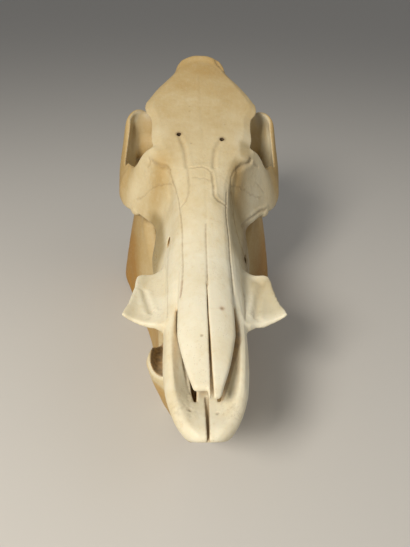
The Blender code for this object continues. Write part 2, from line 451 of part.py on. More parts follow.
def make_cranium():
    S = Solid()
    S.add(loft([(None, CROWN_Z), (SHOULDER_X, SHOULDER_Z), (EDGE_X, EDGE_Z), (FLANK_X, FLANK_Z), (WALL_X, WALL_Z), (BORDER_X, BORDER_Z), (PALATE_X, PALATE_Z), (None, BASE_Z)], 0.3, BACK_END, 3.0), 0)
    back = lambda x, y, z: (BACK_FOOT + (z - 140) * BACK_SLOPE - y) * 0.96
    S.cut((back, *box_of((-60, 320, 90), (60, 380, 245))), 5)
    S.add(cheek_block(), 6)
    S.add(cheek_plate(), 4)
    S.add(ellipsoid((58.5, 238, 111), (5.5, 5.5, 3.8), (0, 0, 20)), 4, True)
    # root of the arch on the braincase
    S.add(sweep([(30, 300, 154, 8, 12), (48, 306, 148, 7, 11), (62, 309, 150, 7, 13), (70, 306, 152, 7, 13)]), 8, True)
    # ridge behind the joint surface
    S.add(ellipsoid((64, 318, 136), (10, 4.5, 11)), 4, True)
    # bony ear canal, rising outwards
    S.add(sweep([(36, 318, 140, 9, 9), (48, 322, 153, 8, 8), (57, 322, 166, 7, 7), (60, 321, 172, 6, 6)], (0, 1, 0)), 6, True)
    # temporal crest from the ear to the nuchal crest
    S.add(sweep([(57, 320, 170, 4, 6), (48, 329, 180, 3.4, 8), (39, 338, 190, 3, 9), (31, 346, 199, 3, 10), (25, 351.5, 209, 2.8, 9)], (0, 1, 0.5)), 6, True)
    # nuchal crest, mirrored from one half
    c = CREST_HALF
    half = [(c - 0.3, 349, 210.5, 2.4, 6), (c - 5.5, 354.5, 219, 2.6, 5.2), (c - 13, 358, 224, 3, 4.2)]
    S.add(sweep([(-x, y, z, a, b) for x, y, z, a, b in half] + [(0, 358.6, 224.8, 3, 4.2)] + half[::-1], (0, 0.3, 1)), 5)
    # rear wall of the temporal hollow, from the braincase out to the arch
    S.add(sweep([(30, 311, 158, 7, 21), (46, 312, 160, 6, 23), (58, 312, 163, 5.5, 21), (66, 309, 164, 5, 17)]), 5, True)
    # side of the occiput, running down into the jugular process
    S.add(sweep([(46, 330, 178, 5, 8), (44, 334, 160, 5, 9), (38, 331, 140, 6, 10), (34, 329, 122, 6, 9), (34, 331, 98, 4.5, 7), (33, 334, 74, 3, 4.5), (33, 335, 66, 2.2, 3)], (0, 1, 0)), 6, True)
    # occipital condyles, tympanic bullae with their points
    S.add(ellipsoid((15.5, 341, 130), (8.5, 10, 15), (25, 0, -25)), 4, True)
    S.add(ellipsoid((25, 304, 101), (8.5, 13, 17), (-15, 0, 12)), 5, True)
    S.add(ellipsoid((24, 301, 86), (5, 6, 9), (-15, 0, 12)), 4, True)
    # bar of the skull base
    S.add(sweep([(0, 238, 103, 10, 7), (0, 262, 107, 10, 7), (0, 300, 111, 12, 8), (0, 334, 118, 15, 8)]), 5)
    S.add(pterygoid(), 3)
    # shelf over the tusk socket, and the swelling of the socket itself
    S.add(wing(), 2)
    S.add(sweep([(25, 146, 97, 8, 10), (31, 133, 95, 9.5, 11), (37, 122, 93, 10, 11), (41, 115, 91.5, 10, 10.5)]), 4, True)
    for y0, y1, x, w, tip in UPPER_TEETH:
        S.add(tooth(y0, y1, x, w, 78, tip), 1.0, True)
    # orbit, temporal hollow, joint surface, ear opening
    S.cut(ellipsoid((62, 263, 163), (26, 18, 16.5), (0, 0, -8)), 3, True)
    S.cut(temporal_hollow(), 3)
    # process behind the orbit, hanging from the brow
    S.add(sweep([(49, 290, 185, 6, 3.8), (50.6, 290, 182, 6, 3.6), (51.2, 290, 178, 5.6, 3.3), (51.2, 289.5, 174.5, 4.8, 3)], (0, 1, 0)), 2.5, True)
    S.cut(ellipsoid((57, 304.5, 131), (14, 9.5, 7.5)), 2, True)
    S.cut(sweep([(68, 321, 179, 4.2, 4.2), (60, 321.5, 171, 3.6, 3.6), (53, 322, 159, 3, 3)], (0, 1, 0)), 1.5, True)
    # hollow under the nuchal crest, and the opening for the spinal cord
    S.cut(ellipsoid((0, 368, 196), (19, 15, 26), (-16, 0, 0)), 4)
    S.cut(sweep([(0, 352, 143, 11.5, 10.5), (0, 330, 143, 10.5, 9.5), (0, 312, 147, 9, 8)]), 2)
    # nasal passage, then the nasal bones over it
    S.cut(nasal_cavity(), 2)
    S.add(nasals(), 0.8)
    # sloping end of the snout, gap along the midline, slits in the palate
    S.cut((lambda x, y, z: (y - 0.8 - 0.8 * (87 - z)) * 0.78, *box_of((-20, -4, 70), (20, 20, 92))), 2.5)
    S.cut(midline_gap(), 0.6)
    S.cut(sweep([(7.4, 30, 84, 0.9, 12), (8.0, 37, 84, 1.7, 12), (8.4, 46, 84, 1.9, 12), (8.2, 56, 84, 1.2, 12)]), 1.2, True)
    # rear opening of the nose
    S.cut(sweep([(0, 262, 93, 10.5, 8), (0, 240, 93, 10.5, 8), (0, 222, 93, 9.5, 7), (0, 205, 95, 8, 6)]), 2)
    # empty sockets of the upper tusks
    S.cut(sweep([(52, 96, 83, 9, 9), (45, 107, 88.5, 7.8, 8), (38, 119, 92, 7, 7.5), (31, 133, 95, 4.5, 5)]), 1.5, True)
    # holes for nerves: brow, cheek and inner corner of the eye
    for x, y, z in BROW_HOLES:
        S.cut(sweep([(x, y - 1, z + 5, 1.6, 1.6), (x, y, z - 1, 1.6, 1.6), (x, y + 4, z - 11, 1.4, 1.4)], (0, 1, 0)), 0.6)
    S.cut(sweep([(-30, 151, 122, 1.5, 3.2), (-26.6, 160, 122.5, 1.5, 3.4), (-21, 174, 120, 1.3, 2.5)]), 0.8)
    S.cut(sweep([(36, 164, 103, 2.2, 4.2), (31, 172, 104, 2.2, 4.2), (26, 184, 106, 2, 3.5)]), 1)
    return S


# ---------------------------------------------------------------- lower jaw
base_x, ramus_top_x, ramus_top_z = curve(RAMUS_BASE_X), curve(RAMUS_TOP_X), line(RAMUS_TOP_Z)
ramus_bend, ramus_thick = line(RAMUS_BEND), line(RAMUS_THICK)


def ramus():
    """Body and ascending part of the jaw, a leaning plate flared outwards along its base."""
    ring = catmull(RAMUS_RING, 2, True)

    def f(x, y, z):
        edge = ring_distance(y, z, ring)
        s = np.clip(z / ramus_top_z(y), 0, 1)
        mid = base_x(y) + (ramus_top_x(y) - base_x(y)) * s ** ramus_bend(y)
        th = ramus_thick(y) + 1.3 * np.exp(-((edge + 4) / 4.5) ** 2) * sstep(225, 260, y)
        return smax((np.abs(np.abs(x) - mid) - th) * 0.85, edge, 5)
    return f, *box_of((-84, 94, -1.5), (84, 332, 139))


def make_jaw():
    S = Solid()
    S.add(loft([(None, CHIN_TOP_Z), (CHIN_RIM_X, CHIN_RIM_Z), (SOCKET_X, SOCKET_Z), (CHIN_SIDE_X, CHIN_SIDE_Z), (CHIN_KEEL_X, CHIN_KEEL_Z), (None, CHIN_BASE_Z)], 21.5, 112, 2.4), 0)
    S.add(ramus(), 5)
    S.add(ellipsoid((57, 304.5, 126.8), (12.5, 6.5, 5.2)), 3, True)
    for y0, y1, x, w, tip in LOWER_TEETH:
        S.add(tooth(y0, y1, x, w, 52, tip), 1.0, True)
    # empty sockets of the lower tusks and of the front teeth, holes for nerves
    S.cut(sweep(TUSK_SOCKET), 1.0, True)
    for x, y, z, r in ((3.0, 30, 66, 1.9), (7.2, 38, 67, 2.3), (11.8, 48, 69, 1.9)):
        S.cut(sweep([(x * 1.05, y - 8, z + 4, r, r * 1.15), (x, y, z - 1, r, r * 1.1), (x * 0.9, y + 9, z - 8, r * 0.6, r * 0.6)]), 0.8, True)
    S.cut(sweep([(36, 112, 34, 2, 2), (26, 118, 33, 1.6, 1.6)]), 0.8, True)
    S.cut(sweep([(40, 136, 33, 1.6, 1.6), (30, 141, 32, 1.3, 1.3)]), 0.8, True)
    # flat underside it stands on
    S.cut((lambda x, y, z: z, *box_of((-90, 0, -10), (90, 340, 2))), 0)
    return S


# ---------------------------------------------------------------- where one bone ends and the next begins
# Each function is negative inside its own bone.
def in_nasal(x, y, z):
    side = line([(14, 20.5), (85, 19.0), (172, 17.0), (208, 12.0)])
    under = nasal_roof(x, y) - nasal_thick(y) - 0.6 - z
    return np.maximum(np.maximum(np.abs(x) - side(y), under), y - NASAL_END)


def in_premaxilla(x, y, z):
    return np.maximum(np.maximum((y - 60 - 1.9 * (z - 80)) * 0.47, np.abs(x) - 29.3), y - 122)


def in_arch(x, y, z):
    """Everything beyond a fore-and-aft plane, apart from the process behind the orbit and the tusk shelf."""
    keep = ellipsoid((50, 285, 186), (13, 14, 24))[0](np.abs(x), y, z)
    return np.maximum(np.maximum(53.5 - np.abs(x), -keep), 195 - y)


def in_maxilla(x, y, z):
    return (y - 165 - 1.2 * (150 - z)) / 1.56


# ---------------------------------------------------------------- meshing
def sample(solid, h, lo, hi, levels=3):
    """Distances on a grid of spacing h, exact near the surface and coarse elsewhere."""
    step = 2 ** (levels - 1)
    n = [int(math.ceil((hi[i] - lo[i]) / (h * step))) + 2 for i in range(3)]
    D = None
    for _ in range(levels):
        s = h * step
        if D is None:
            dims = [k + 1 for k in n]
            ax = [(lo[i] + s * np.arange(dims[i])).astype(np.float32) for i in range(3)]
            X, Y, Z = np.meshgrid(*ax, indexing="ij")
            D = solid(X.ravel(), Y.ravel(), Z.ravel(), reach=3 * s + 6).reshape(dims)
        else:
            old = D
            D = np.empty([2 * (k - 1) + 1 for k in old.shape], np.float32)
            for a in (0, 1):
                for b in (0, 1):
                    for c in (0, 1):
                        A = old[: old.shape[0] - a, : old.shape[1] - b, : old.shape[2] - c]
                        B = old[a:, b:, c:]
                        D[a::2, b::2, c::2] = np.where(np.abs(A) < np.abs(B), A, B)
            near = np.flatnonzero(np.abs(D) < 3.5 * s)
            i0, i1, i2 = np.unravel_index(near, D.shape)
            p = [(lo[k] + s * i).astype(np.float32) for k, i in enumerate((i0, i1, i2))]
            D.ravel()[near] = solid(*p, reach=2 * s + 3)
        step //= 2
    return D


TETS = [(0, 1, 3, 7), (0, 3, 2, 7), (0, 2, 6, 7), (0, 6, 4, 7), (0, 4, 5, 7), (0, 5, 1, 7)]
FIRST = {0: (0, 1, 2, 3), 1: (1, 0, 3, 2), 2: (2, 3, 0, 1), 3: (3, 2, 1, 0)}
PAIRS = {(0, 1): (0, 1, 2, 3), (0, 2): (0, 2, 3, 1), (0, 3): (0, 3, 1, 2), (1, 2): (1, 2, 0, 3), (1, 3): (1, 3, 2, 0), (2, 3): (2, 3, 0, 1)}


def surface(D, h, lo):
    """Closed triangle mesh of the zero surface: every grid cube is cut into six tetrahedra."""
    D = np.where(D == 0, np.float32(1e-5), D)
    S = D < 0
    nx, ny, nz = D.shape
    cnt = sum(S[a : nx - 1 + a, b : ny - 1 + b, c : nz - 1 + c].astype(np.uint8) for a in (0, 1) for b in (0, 1) for c in (0, 1))
    ci, cj, ck = np.nonzero((cnt > 0) & (cnt < 8))
    corner = [(((ci + (k & 1)) * ny) + cj + (k >> 1 & 1)) * nz + ck + (k >> 2) for k in range(8)]
    flat = S.ravel()
    edges = []
    for tet in TETS:
        ids = np.stack([corner[k] for k in tet], 1)
        s = flat[ids]
        code = s @ np.array([1, 2, 4, 8])
        for i in range(4):
            a, b, c, d = FIRST[i]
            for rows, (p, q, r) in ((code == (1 << i), (b, c, d)), (code == 15 - (1 << i), (b, d, c))):
                t = ids[rows]
                if len(t):
                    edges.append(np.stack([np.stack([t[:, a], t[:, k]], 1) for k in (p, q, r)], 1))
        for (i, j), (a, b, c, d) in PAIRS.items():
            t = ids[code == (1 << i) + (1 << j)]
            if len(t):
                e = [np.stack([t[:, m], t[:, n]], 1) for m, n in ((a, c), (a, d), (b, d), (b, c))]
                edges.append(np.stack([e[0], e[1], e[2]], 1))
                edges.append(np.stack([e[0], e[2], e[3]], 1))
    E = np.concatenate(edges)
    lo_id, hi_id = E.min(2), E.max(2)
    key, inv = np.unique((lo_id.astype(np.int64) * D.size + hi_id).ravel(), return_inverse=True)
    u, v = key // D.size, key % D.size
    du, dv = D.ravel()[u], D.ravel()[v]
    t = np.clip(du / (du - dv), 0.04, 0.96)
    pu = np.stack(np.unravel_index(u, D.shape), 1).astype(float)
    pv = np.stack(np.unravel_index(v, D.shape), 1).astype(float)
    return (pu + (pv - pu) * t[:, None]) * h + np.array(lo), inv.reshape(-1, 3)


def pieces(F, n):
    """Number of separate bodies in a triangle list."""
    lab = np.arange(n)
    while True:
        m = lab[F].min(1)
        new = lab.copy()
        for k in range(3):
            np.minimum.at(new, F[:, k], m)
        new = new[new]
        if (new == lab).all():
            return lab
        lab = new


def build(name, P, F, faces, colour, rough, stands=False):
    """Mesh object in metres, thinned to about the wanted number of faces."""
    lab = pieces(F, len(P))
    main = np.bincount(lab[F[:, 0]]).argmax()
    F = F[lab[F[:, 0]] == main]
    used, F = np.unique(F, return_inverse=True)
    P, F = P[used], F.reshape(-1, 3)
    P = (P - np.array([CENTRE[0], CENTRE[1], 0.0])) / 1000.0
    raw = bpy.data.meshes.new(name + "_raw")
    raw.from_pydata(P.tolist(), [], F.tolist())
    ob = bpy.data.objects.new(name, raw)
    bpy.context.scene.collection.objects.link(ob)
    thin = ob.modifiers.new("Thin", "DECIMATE")
    thin.ratio = faces / len(F)
    dg = bpy.context.evaluated_depsgraph_get()
    me = bpy.data.meshes.new_from_object(ob.evaluated_get(dg))
    ob.modifiers.clear()
    ob.data = me
    me.name = name
    if stands:
        for v in me.vertices:
            if v.co.z < 0.0004:
                v.co.z = 0.0
    bpy.data.meshes.remove(raw)
    me.shade_smooth()
    mat = bpy.data.materials.new(name)
    mat.use_nodes = True
    p = mat.node_tree.nodes["Principled BSDF"]
    p.inputs["Base Color"].default_value = (*colour, 1)
    p.inputs["Roughness"].default_value = rough
    p.inputs["Metallic"].default_value = 0.0
    me.materials.clear()
    me.materials.append(mat)
    return ob


def grid_points(D, h, lo):
    ax = [(lo[i] + h * np.arange(D.shape[i])).astype(np.float32) for i in range(3)]
    return np.meshgrid(*ax, indexing="ij")


def main():
    cranium = make_cranium()
    lo, hi = cranium.bounds()
    lo, hi = lo - 4.3, hi + 4.3
    D = sample(cranium, GRID, lo, hi)
    X, Y, Z = grid_points(D, GRID, lo)
    N, P, A, M = in_nasal(X, Y, Z), in_premaxilla(X, Y, Z), in_arch(X, Y, Z), in_maxilla(X, Y, Z)
    g = SPLIT
    rest = np.maximum(D, NASAL_SPLIT - N)
    bones = {"nasal": np.maximum(D, N + NASAL_SPLIT), "zygomatic_arch": np.maximum(rest, A + g)}
    rest = np.maximum(rest, g - A)
    bones["premaxilla"] = np.maximum(rest, P + g)
    rest = np.maximum(rest, g - P)
    bones["maxilla"] = np.maximum(rest, M + g)
    look = {
        "nasal": (320, (0.82, 0.76, 0.62), 0.5), "zygomatic_arch": (760, (0.68, 0.55, 0.36), 0.5),
        "premaxilla": (420, (0.80, 0.74, 0.60), 0.5), "maxilla": (1050, (0.76, 0.68, 0.52), 0.52),
    }
    for bone, field in bones.items():
        faces, colour, rough = look[bone]
        for side, s in (("left", 1), ("right", -1)):
            build(f"{bone}_{side}", *surface(np.maximum(field, g - s * X), GRID, lo), faces, colour, rough)
    build("braincase", *surface(np.maximum(rest, g - M), GRID, lo), 1900, (0.66, 0.54, 0.36), 0.52)

    jaw = make_jaw()
    lo, hi = jaw.bounds()
    lo, hi = lo - 4.3, hi + 4.3
    V, F = surface(sample(jaw, GRID, lo, hi), GRID, lo)
    c, s = math.cos(JAW_TURN), math.sin(JAW_TURN)
    dx, dy = V[:, 0], V[:, 1] - JAW_PIVOT_Y
    V = np.stack([c * dx + s * dy, JAW_PIVOT_Y - s * dx + c * dy, V[:, 2]], 1)
    build("mandible", V, F, 2000, (0.62, 0.46, 0.25), 0.5, stands=True)


main()
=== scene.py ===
"""Finished look of the wild boar skull: one mesh for the grown-together cranium and one for
the lower jaw, with seams, grooves, pores and worn edges, in dry bone.

The shapes come from profile curves along the head (y, from the tip of the snout backwards),
swept bars and rounded lumps, in millimetres, blended into one distance field for each bone.
x is across the head, z is up from the floor it rests on.
"""
import math

import bpy
import numpy as np
from mathutils import Matrix, Vector


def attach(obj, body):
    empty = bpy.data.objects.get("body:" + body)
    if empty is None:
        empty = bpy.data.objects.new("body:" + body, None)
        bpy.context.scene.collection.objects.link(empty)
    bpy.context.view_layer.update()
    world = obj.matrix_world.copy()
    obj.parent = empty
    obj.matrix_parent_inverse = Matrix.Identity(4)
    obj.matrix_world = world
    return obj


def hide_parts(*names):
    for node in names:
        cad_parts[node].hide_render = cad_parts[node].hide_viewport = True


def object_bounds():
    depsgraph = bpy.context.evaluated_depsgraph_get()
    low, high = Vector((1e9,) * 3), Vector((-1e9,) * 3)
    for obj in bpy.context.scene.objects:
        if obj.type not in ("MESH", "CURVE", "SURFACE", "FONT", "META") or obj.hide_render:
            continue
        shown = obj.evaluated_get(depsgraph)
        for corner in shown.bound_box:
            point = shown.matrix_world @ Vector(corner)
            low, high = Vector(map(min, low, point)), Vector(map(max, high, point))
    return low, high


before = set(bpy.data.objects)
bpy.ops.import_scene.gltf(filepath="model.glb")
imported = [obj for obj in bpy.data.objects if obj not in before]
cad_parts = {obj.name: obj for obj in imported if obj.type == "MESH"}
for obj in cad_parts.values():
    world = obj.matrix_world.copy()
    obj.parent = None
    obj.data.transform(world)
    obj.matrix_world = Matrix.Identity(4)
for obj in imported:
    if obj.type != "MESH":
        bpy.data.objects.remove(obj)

cad_low, cad_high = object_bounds()
FINE = 0.85     # spacing of the sampling grid, millimetres

# ---------------------------------------------------------------- driving sizes, millimetres
BACK_END = 372.0          # where the profile curves end, behind the crest
BACK_FOOT = 336.0         # y of the back of the head at z = 140
BACK_SLOPE = 0.262        # how far it leans back for each millimetre of height
CREST_HALF = 20.8         # half width of the nuchal crest
NASAL_END = 208.0         # rear end of the nasal bones
NASAL_TIP = 19.0          # tip of the left nasal bone
TIP_STEP = 4.5            # how much shorter the right one is
JAW_TURN = math.radians(1.75)   # the lower jaw lies turned towards -x at the chin
JAW_PIVOT_Y = 290.0
CENTRE = (0.077, 182.064)   # x, y of the middle of the whole, moved to 0, 0

# ---------------------------------------------------------------- profiles of the cranium
# each is a list of (y, value); heights end in _Z and half widths in _X
CROWN_Z = [(2, 85.5), (5, 88), (10, 89), (35, 86), (55, 90), (75, 108), (100, 125), (130, 133.5), (192, 160), (250, 184), (275, 193.5), (325, 214.5), (372, 232)]
SHOULDER_X = [(2, 3), (5, 6), (20, 10), (55, 13), (75, 13), (100, 11), (165, 11.5), (192, 13), (212, 17), (250, 25), (275, 28), (287, 31), (300, 29), (325, 19), (342, 14), (372, 12)]
SHOULDER_Z = [(2, 85.5), (5, 88), (10, 89.5), (35, 89), (55, 97), (75, 108), (100, 123.5), (130, 132.5), (212, 167.5), (250, 183), (275, 192.5), (342, 220.5), (372, 231.5)]
EDGE_X = [(2, 4), (5, 7), (10, 11), (18, 15), (35, 20), (75, 23), (100, 18.5), (165, 18.5), (192, 21), (212, 28), (225, 34.5), (238, 42.5), (250, 45), (263, 45.3), (274, 46.8), (281, 51.5), (287, 55), (292, 54), (298, 50.8), (306, 46.9), (316, 41.2), (326, 34.8), (335, 29), (345, 24.3), (372, 19)]
EDGE_Z = [(2, 85), (5, 87.5), (10, 89.5), (20, 91), (35, 95), (55, 102.5), (75, 108.5), (100, 119.5), (130, 128.5), (165, 142), (192, 154), (275, 188.5), (287, 193), (325, 209.5), (372, 227)]
FLANK_X = [(2, 5), (5, 9.3), (10, 14.2), (18, 19.2), (35, 24.2), (75, 27), (100, 26.2), (130, 26.5), (165, 25), (192, 25), (212, 30.5), (230, 33), (300, 33), (325, 27), (342, 20), (372, 15)]
FLANK_Z = [(2, 84), (5, 86), (20, 89), (35, 92), (55, 98), (75, 104), (100, 113), (130, 119), (165, 130), (192, 141), (250, 158), (287, 173), (325, 188), (342, 197), (372, 208)]
WALL_X = [(2, 4.8), (5, 9.8), (10, 15.2), (18, 20.2), (35, 25.6), (55, 28), (130, 29), (150, 33), (165, 37), (190, 40), (212, 39.5), (230, 35), (250, 30), (287, 35), (325, 42), (342, 34), (372, 30)]
WALL_Z = [(2, 82), (5, 83), (20, 85), (75, 92), (100, 100), (130, 102), (192, 106), (230, 116), (250, 130), (287, 147), (300, 152), (325, 158), (342, 162), (372, 165)]
BORDER_X = [(2, 5), (5, 9), (10, 13.5), (18, 18), (35, 23), (55, 25.5), (100, 27), (130, 31), (165, 40), (192, 41.5), (212, 34), (230, 30), (250, 20), (287, 23), (325, 33), (342, 30), (372, 28)]
BORDER_Z = [(2, 79.5), (10, 78.5), (35, 80), (55, 80.5), (100, 78.5), (165, 76), (212, 76.5), (230, 84), (250, 104), (275, 112), (325, 124), (342, 130), (372, 135)]
PALATE_X = [(2, 4), (5, 7), (35, 18), (55, 20), (130, 20), (192, 16), (212, 16), (230, 14), (250, 10), (300, 12), (372, 12)]
PALATE_Z = [(2, 78.5), (10, 77), (35, 79.5), (55, 79.5), (130, 76), (192, 75.5), (212, 76), (230, 82), (250, 99), (275, 104), (325, 112), (342, 116), (372, 120)]
BASE_Z = [(2, 78.5), (5, 78), (10, 79), (35, 83), (75, 84.5), (192, 81.5), (212, 82), (230, 88), (250, 98), (275, 102), (372, 118)]

# nasal bones
NASAL_TOP_Z = [(14, 101), (22, 104.8), (40, 111), (65, 118.8), (100, 127), (125, 133), (165, 148.5), (206, 166.5), (225, 174)]
NASAL_X = [(14, 4), (20, 7.2), (26, 9.2), (40, 13.6), (56, 17.3), (64, 18.6), (82, 18.7), (100, 18.4), (133, 17.6), (172, 17.0), (190, 14.5), (208, 12), (214, 10)]
NASAL_THICK = [(14, 3.2), (30, 4.5), (60, 6), (100, 7)]

# cheek and arch: outline seen from the side, and how far out its face stands
CHEEK_RING = [
    (190, 112), (196, 127), (205, 143), (215, 157), (226, 168), (235, 172), (242, 167), (248, 158), (255, 151.5),
    (264, 149.5), (273, 152.5), (282, 161), (290, 172), (297, 181), (303, 185.3), (310, 186.3), (316, 184), (321, 176),
    (322, 160), (319, 143), (309, 132), (298, 127), (286, 120), (270, 111.5), (257, 107.5), (246, 110), (236, 111.5), (220, 112), (204, 111),
]
CHEEK_CREST_X = [(186, 31), (196, 35), (206, 41), (216, 48), (226, 55), (236, 62.5), (246, 70), (258, 76.5), (270, 80.5), (282, 81), (294, 78), (306, 74.5), (316, 70), (326, 65)]
CHEEK_UPPER_X = [(186, 27), (196, 27), (206, 30), (216, 34), (226, 39), (235, 45), (242, 51), (249, 57), (258, 62), (270, 66.5), (282, 70), (291, 71.5), (297, 71.8), (303, 69.5), (309, 66.5), (318, 62.5), (326, 58)]
CHEEK_LOW_Z = [(186, 110), (204, 111), (236, 111), (252, 109), (270, 113), (286, 121), (298, 129), (308, 134), (326, 147)]
CHEEK_HIGH_Z = [(186, 120), (196, 128), (215, 157), (226, 168), (235, 172), (242, 167), (248, 158), (256, 151), (268, 150), (280, 158), (290, 170), (304, 185.5), (311, 186.3), (326, 176)]
CHEEK_BEND = [(186, 0.8), (236, 0.95), (250, 1.5), (275, 2.2), (300, 3.0), (326, 3.0)]
CHEEK_THICK = [(215, 14), (240, 10), (256, 7), (272, 5.2), (290, 4.4), (305, 5.5), (316, 8)]
CHEEK_BLOCK_RING = [(190, 113), (196, 127), (205, 143), (215, 157), (226, 167), (235, 171), (241, 165), (247, 156), (256, 150), (263, 146), (264, 124), (254, 112), (238, 112.5), (220, 112.5), (204, 112)]

# shelf over each upper tusk socket, seen from above as (x, y)
WING_PLAN = [(24, 150), (34, 142), (43, 137), (50.5, 131), (51, 120), (52, 108), (54, 97), (57, 85.5), (50, 84.5), (42, 82.5), (34, 80.5), (27, 77.5), (22, 90), (20, 120)]
WING_TOP = [(22, 112), (30, 107), (38, 104.5), (46, 105.5), (58, 108.5)]
WING_THICK = [(22, 14), (29, 7.5), (35, 4.6), (50, 3.6), (58, 2.4)]

# nerve holes of the brow, as (x, y, z)
BROW_HOLES = [(-20.3, 247.5, 182), (17.7, 241.8, 180.2)]

PTERYGOID_RING = [(214, 82), (226, 79), (240, 77.5), (252, 76), (256, 81), (257, 92), (262, 104), (264, 112), (240, 112), (222, 104)]

# cheek teeth: front y, rear y, x, width, height of the chewing surface
UPPER_TEETH = [(91, 98, 23.5, 5, 73), (103, 114, 24.3, 6.5, 67.5), (115, 127, 25, 9, 66), (128, 140, 26, 12, 65.6), (141, 157, 27, 14.5, 65.4), (158, 179, 27.5, 17.5, 65.4), (180, 214, 27, 18, 65.6)]
LOWER_TEETH = [(105, 114, 22.5, 5, 62.5), (115, 127, 23, 6.5, 64), (128, 141, 24, 8.5, 64.6), (142, 157, 24.5, 11.5, 64.6), (158, 178, 25, 14, 64.6), (179, 216, 26, 15.5, 64.6)]

# ---------------------------------------------------------------- profiles of the lower jaw, before it is turned
CHIN_TOP_Z = [(22, 64), (27, 65), (34, 65), (42, 62), (51, 58), (68, 47), (79, 41), (102, 24), (112, 14)]
CHIN_RIM_X = [(22, 1.5), (34, 6), (42, 6), (68, 11), (79, 13), (91, 13), (102, 14), (112, 14)]
CHIN_RIM_Z = [(22, 64), (27, 66), (34, 67), (42, 67), (51, 68), (60, 68), (68, 67), (79, 66), (91, 62), (102, 56), (112, 52)]
SOCKET_X = [(22, 3), (27, 6), (34, 10), (42, 10.4), (51, 13.6), (60, 21.5), (68, 29), (79, 33), (91, 31.5), (102, 28), (112, 24)]
SOCKET_Z = [(22, 63), (27, 65), (42, 67), (51, 71), (68, 75.5), (79, 75.5), (91, 73), (102, 67), (112, 57)]
CHIN_SIDE_X = [(22, 2.6), (27, 5.6), (34, 9.5), (42, 10), (51, 13), (60, 20.5), (68, 28), (79, 32), (91, 30), (102, 26.5), (112, 26)]
CHIN_SIDE_Z = [(22, 60), (34, 56), (51, 54), (68, 57), (79, 58), (102, 42), (112, 38)]
TUSK_SOCKET = [(21.5, 57, 84, 3.6, 6), (23.8, 68, 79, 5.6, 7), (24.8, 79, 76, 6.2, 8), (25.0, 92, 73, 5.8, 8), (24.0, 106, 67, 4.6, 7)]     # (x, y, z, half width, half height)
CHIN_KEEL_X = [(22, 1.6), (27, 3.5), (51, 9.5), (79, 16.5), (102, 20), (112, 22)]
CHIN_KEEL_Z = [(22, 58), (27, 52), (51, 31), (91, 5.5), (102, 3), (112, 2.5)]
CHIN_BASE_Z = [(22, 57.5), (27, 51), (42, 35), (51, 27), (68, 12.5), (91, 2.5), (102, 2), (112, 3)]
RAMUS_RING = [
    (96, 50), (106, 55.5), (125, 54), (150, 53.5), (180, 54.5), (212, 57), (226, 64), (236, 78), (244, 94), (252, 111), (261, 128), (269, 137.5), (276.5, 134.5),
    (284, 125), (291, 121), (297, 126.5), (304, 131), (311, 129), (313.5, 122), (314, 112), (319, 96), (326, 77), (330, 58), (328, 40), (317, 21), (300, 9),
    (278, 2), (255, -1), (225, -1.2), (190, -1.2), (150, -1.2), (120, -1.2), (100, -0.6),
]
RAMUS_BASE_X = [(96, 18), (112, 20), (130, 23.5), (158, 31), (180, 37), (205, 46), (222, 52.5), (240, 60.5), (262, 71), (285, 79), (305, 80), (330, 76)]
RAMUS_TOP_X = [(96, 20), (130, 23), (160, 24.5), (200, 27), (220, 32), (235, 40), (250, 48), (270, 53), (300, 57), (330, 57)]
RAMUS_TOP_Z = [(96, 54), (212, 58), (226, 74), (252, 104), (269, 118), (300, 118), (330, 110)]
RAMUS_BEND = [(96, 0.95), (180, 0.95), (230, 1.1), (290, 1.45), (330, 1.4)]
RAMUS_THICK = [(96, 7.5), (150, 8.2), (215, 7.8), (240, 5.0), (262, 3.4), (330, 3.2)]


# ---------------------------------------------------------------- numbers
def line(pairs):
    """Straight-line interpolation through (t, value) pairs."""
    t, v = [p[0] for p in pairs], [p[1] for p in pairs]
    return lambda q: np.interp(q, t, v).astype(np.float32)


def curve(pairs, n=400):
    """Smooth interpolation through (t, value) pairs that never overshoots."""
    t = np.array([p[0] for p in pairs], float)
    v = np.array([p[1] for p in pairs], float)
    h = np.diff(t)
    s = np.diff(v) / h
    m = np.zeros(len(t))
    for i in range(1, len(t) - 1):
        if s[i - 1] * s[i] > 0:
            w1, w2 = 2 * h[i] + h[i - 1], h[i] + 2 * h[i - 1]
            m[i] = (w1 + w2) / (w1 / s[i - 1] + w2 / s[i])
    m[0], m[-1] = s[0], s[-1]
    tt = np.linspace(t[0], t[-1], n)
    k = np.clip(np.searchsorted(t, tt, side="right") - 1, 0, len(t) - 2)
    u = (tt - t[k]) / h[k]
    vv = (
        (1 + 2 * u) * (1 - u) ** 2 * v[k]
        + u * (1 - u) ** 2 * h[k] * m[k]
        + u * u * (3 - 2 * u) * v[k + 1]
        + u * u * (u - 1) * h[k] * m[k + 1]
    )
    return line(list(zip(tt, vv)))


def smin(a, b, k):
    """Smaller of two distances with a rounded join of width k."""
    if k <= 0:
        return np.minimum(a, b)
    h = np.maximum(k - np.abs(a - b), 0) / k
    return np.minimum(a, b) - h * h * (k * 0.25)


def smax(a, b, k):
    return -smin(-a, -b, k)


def sstep(a, b, x):
    u = np.clip((x - a) / (b - a), 0, 1)
    return u * u * (3 - 2 * u)


def box_of(lo, hi):
    return np.array(lo, float), np.array(hi, float)


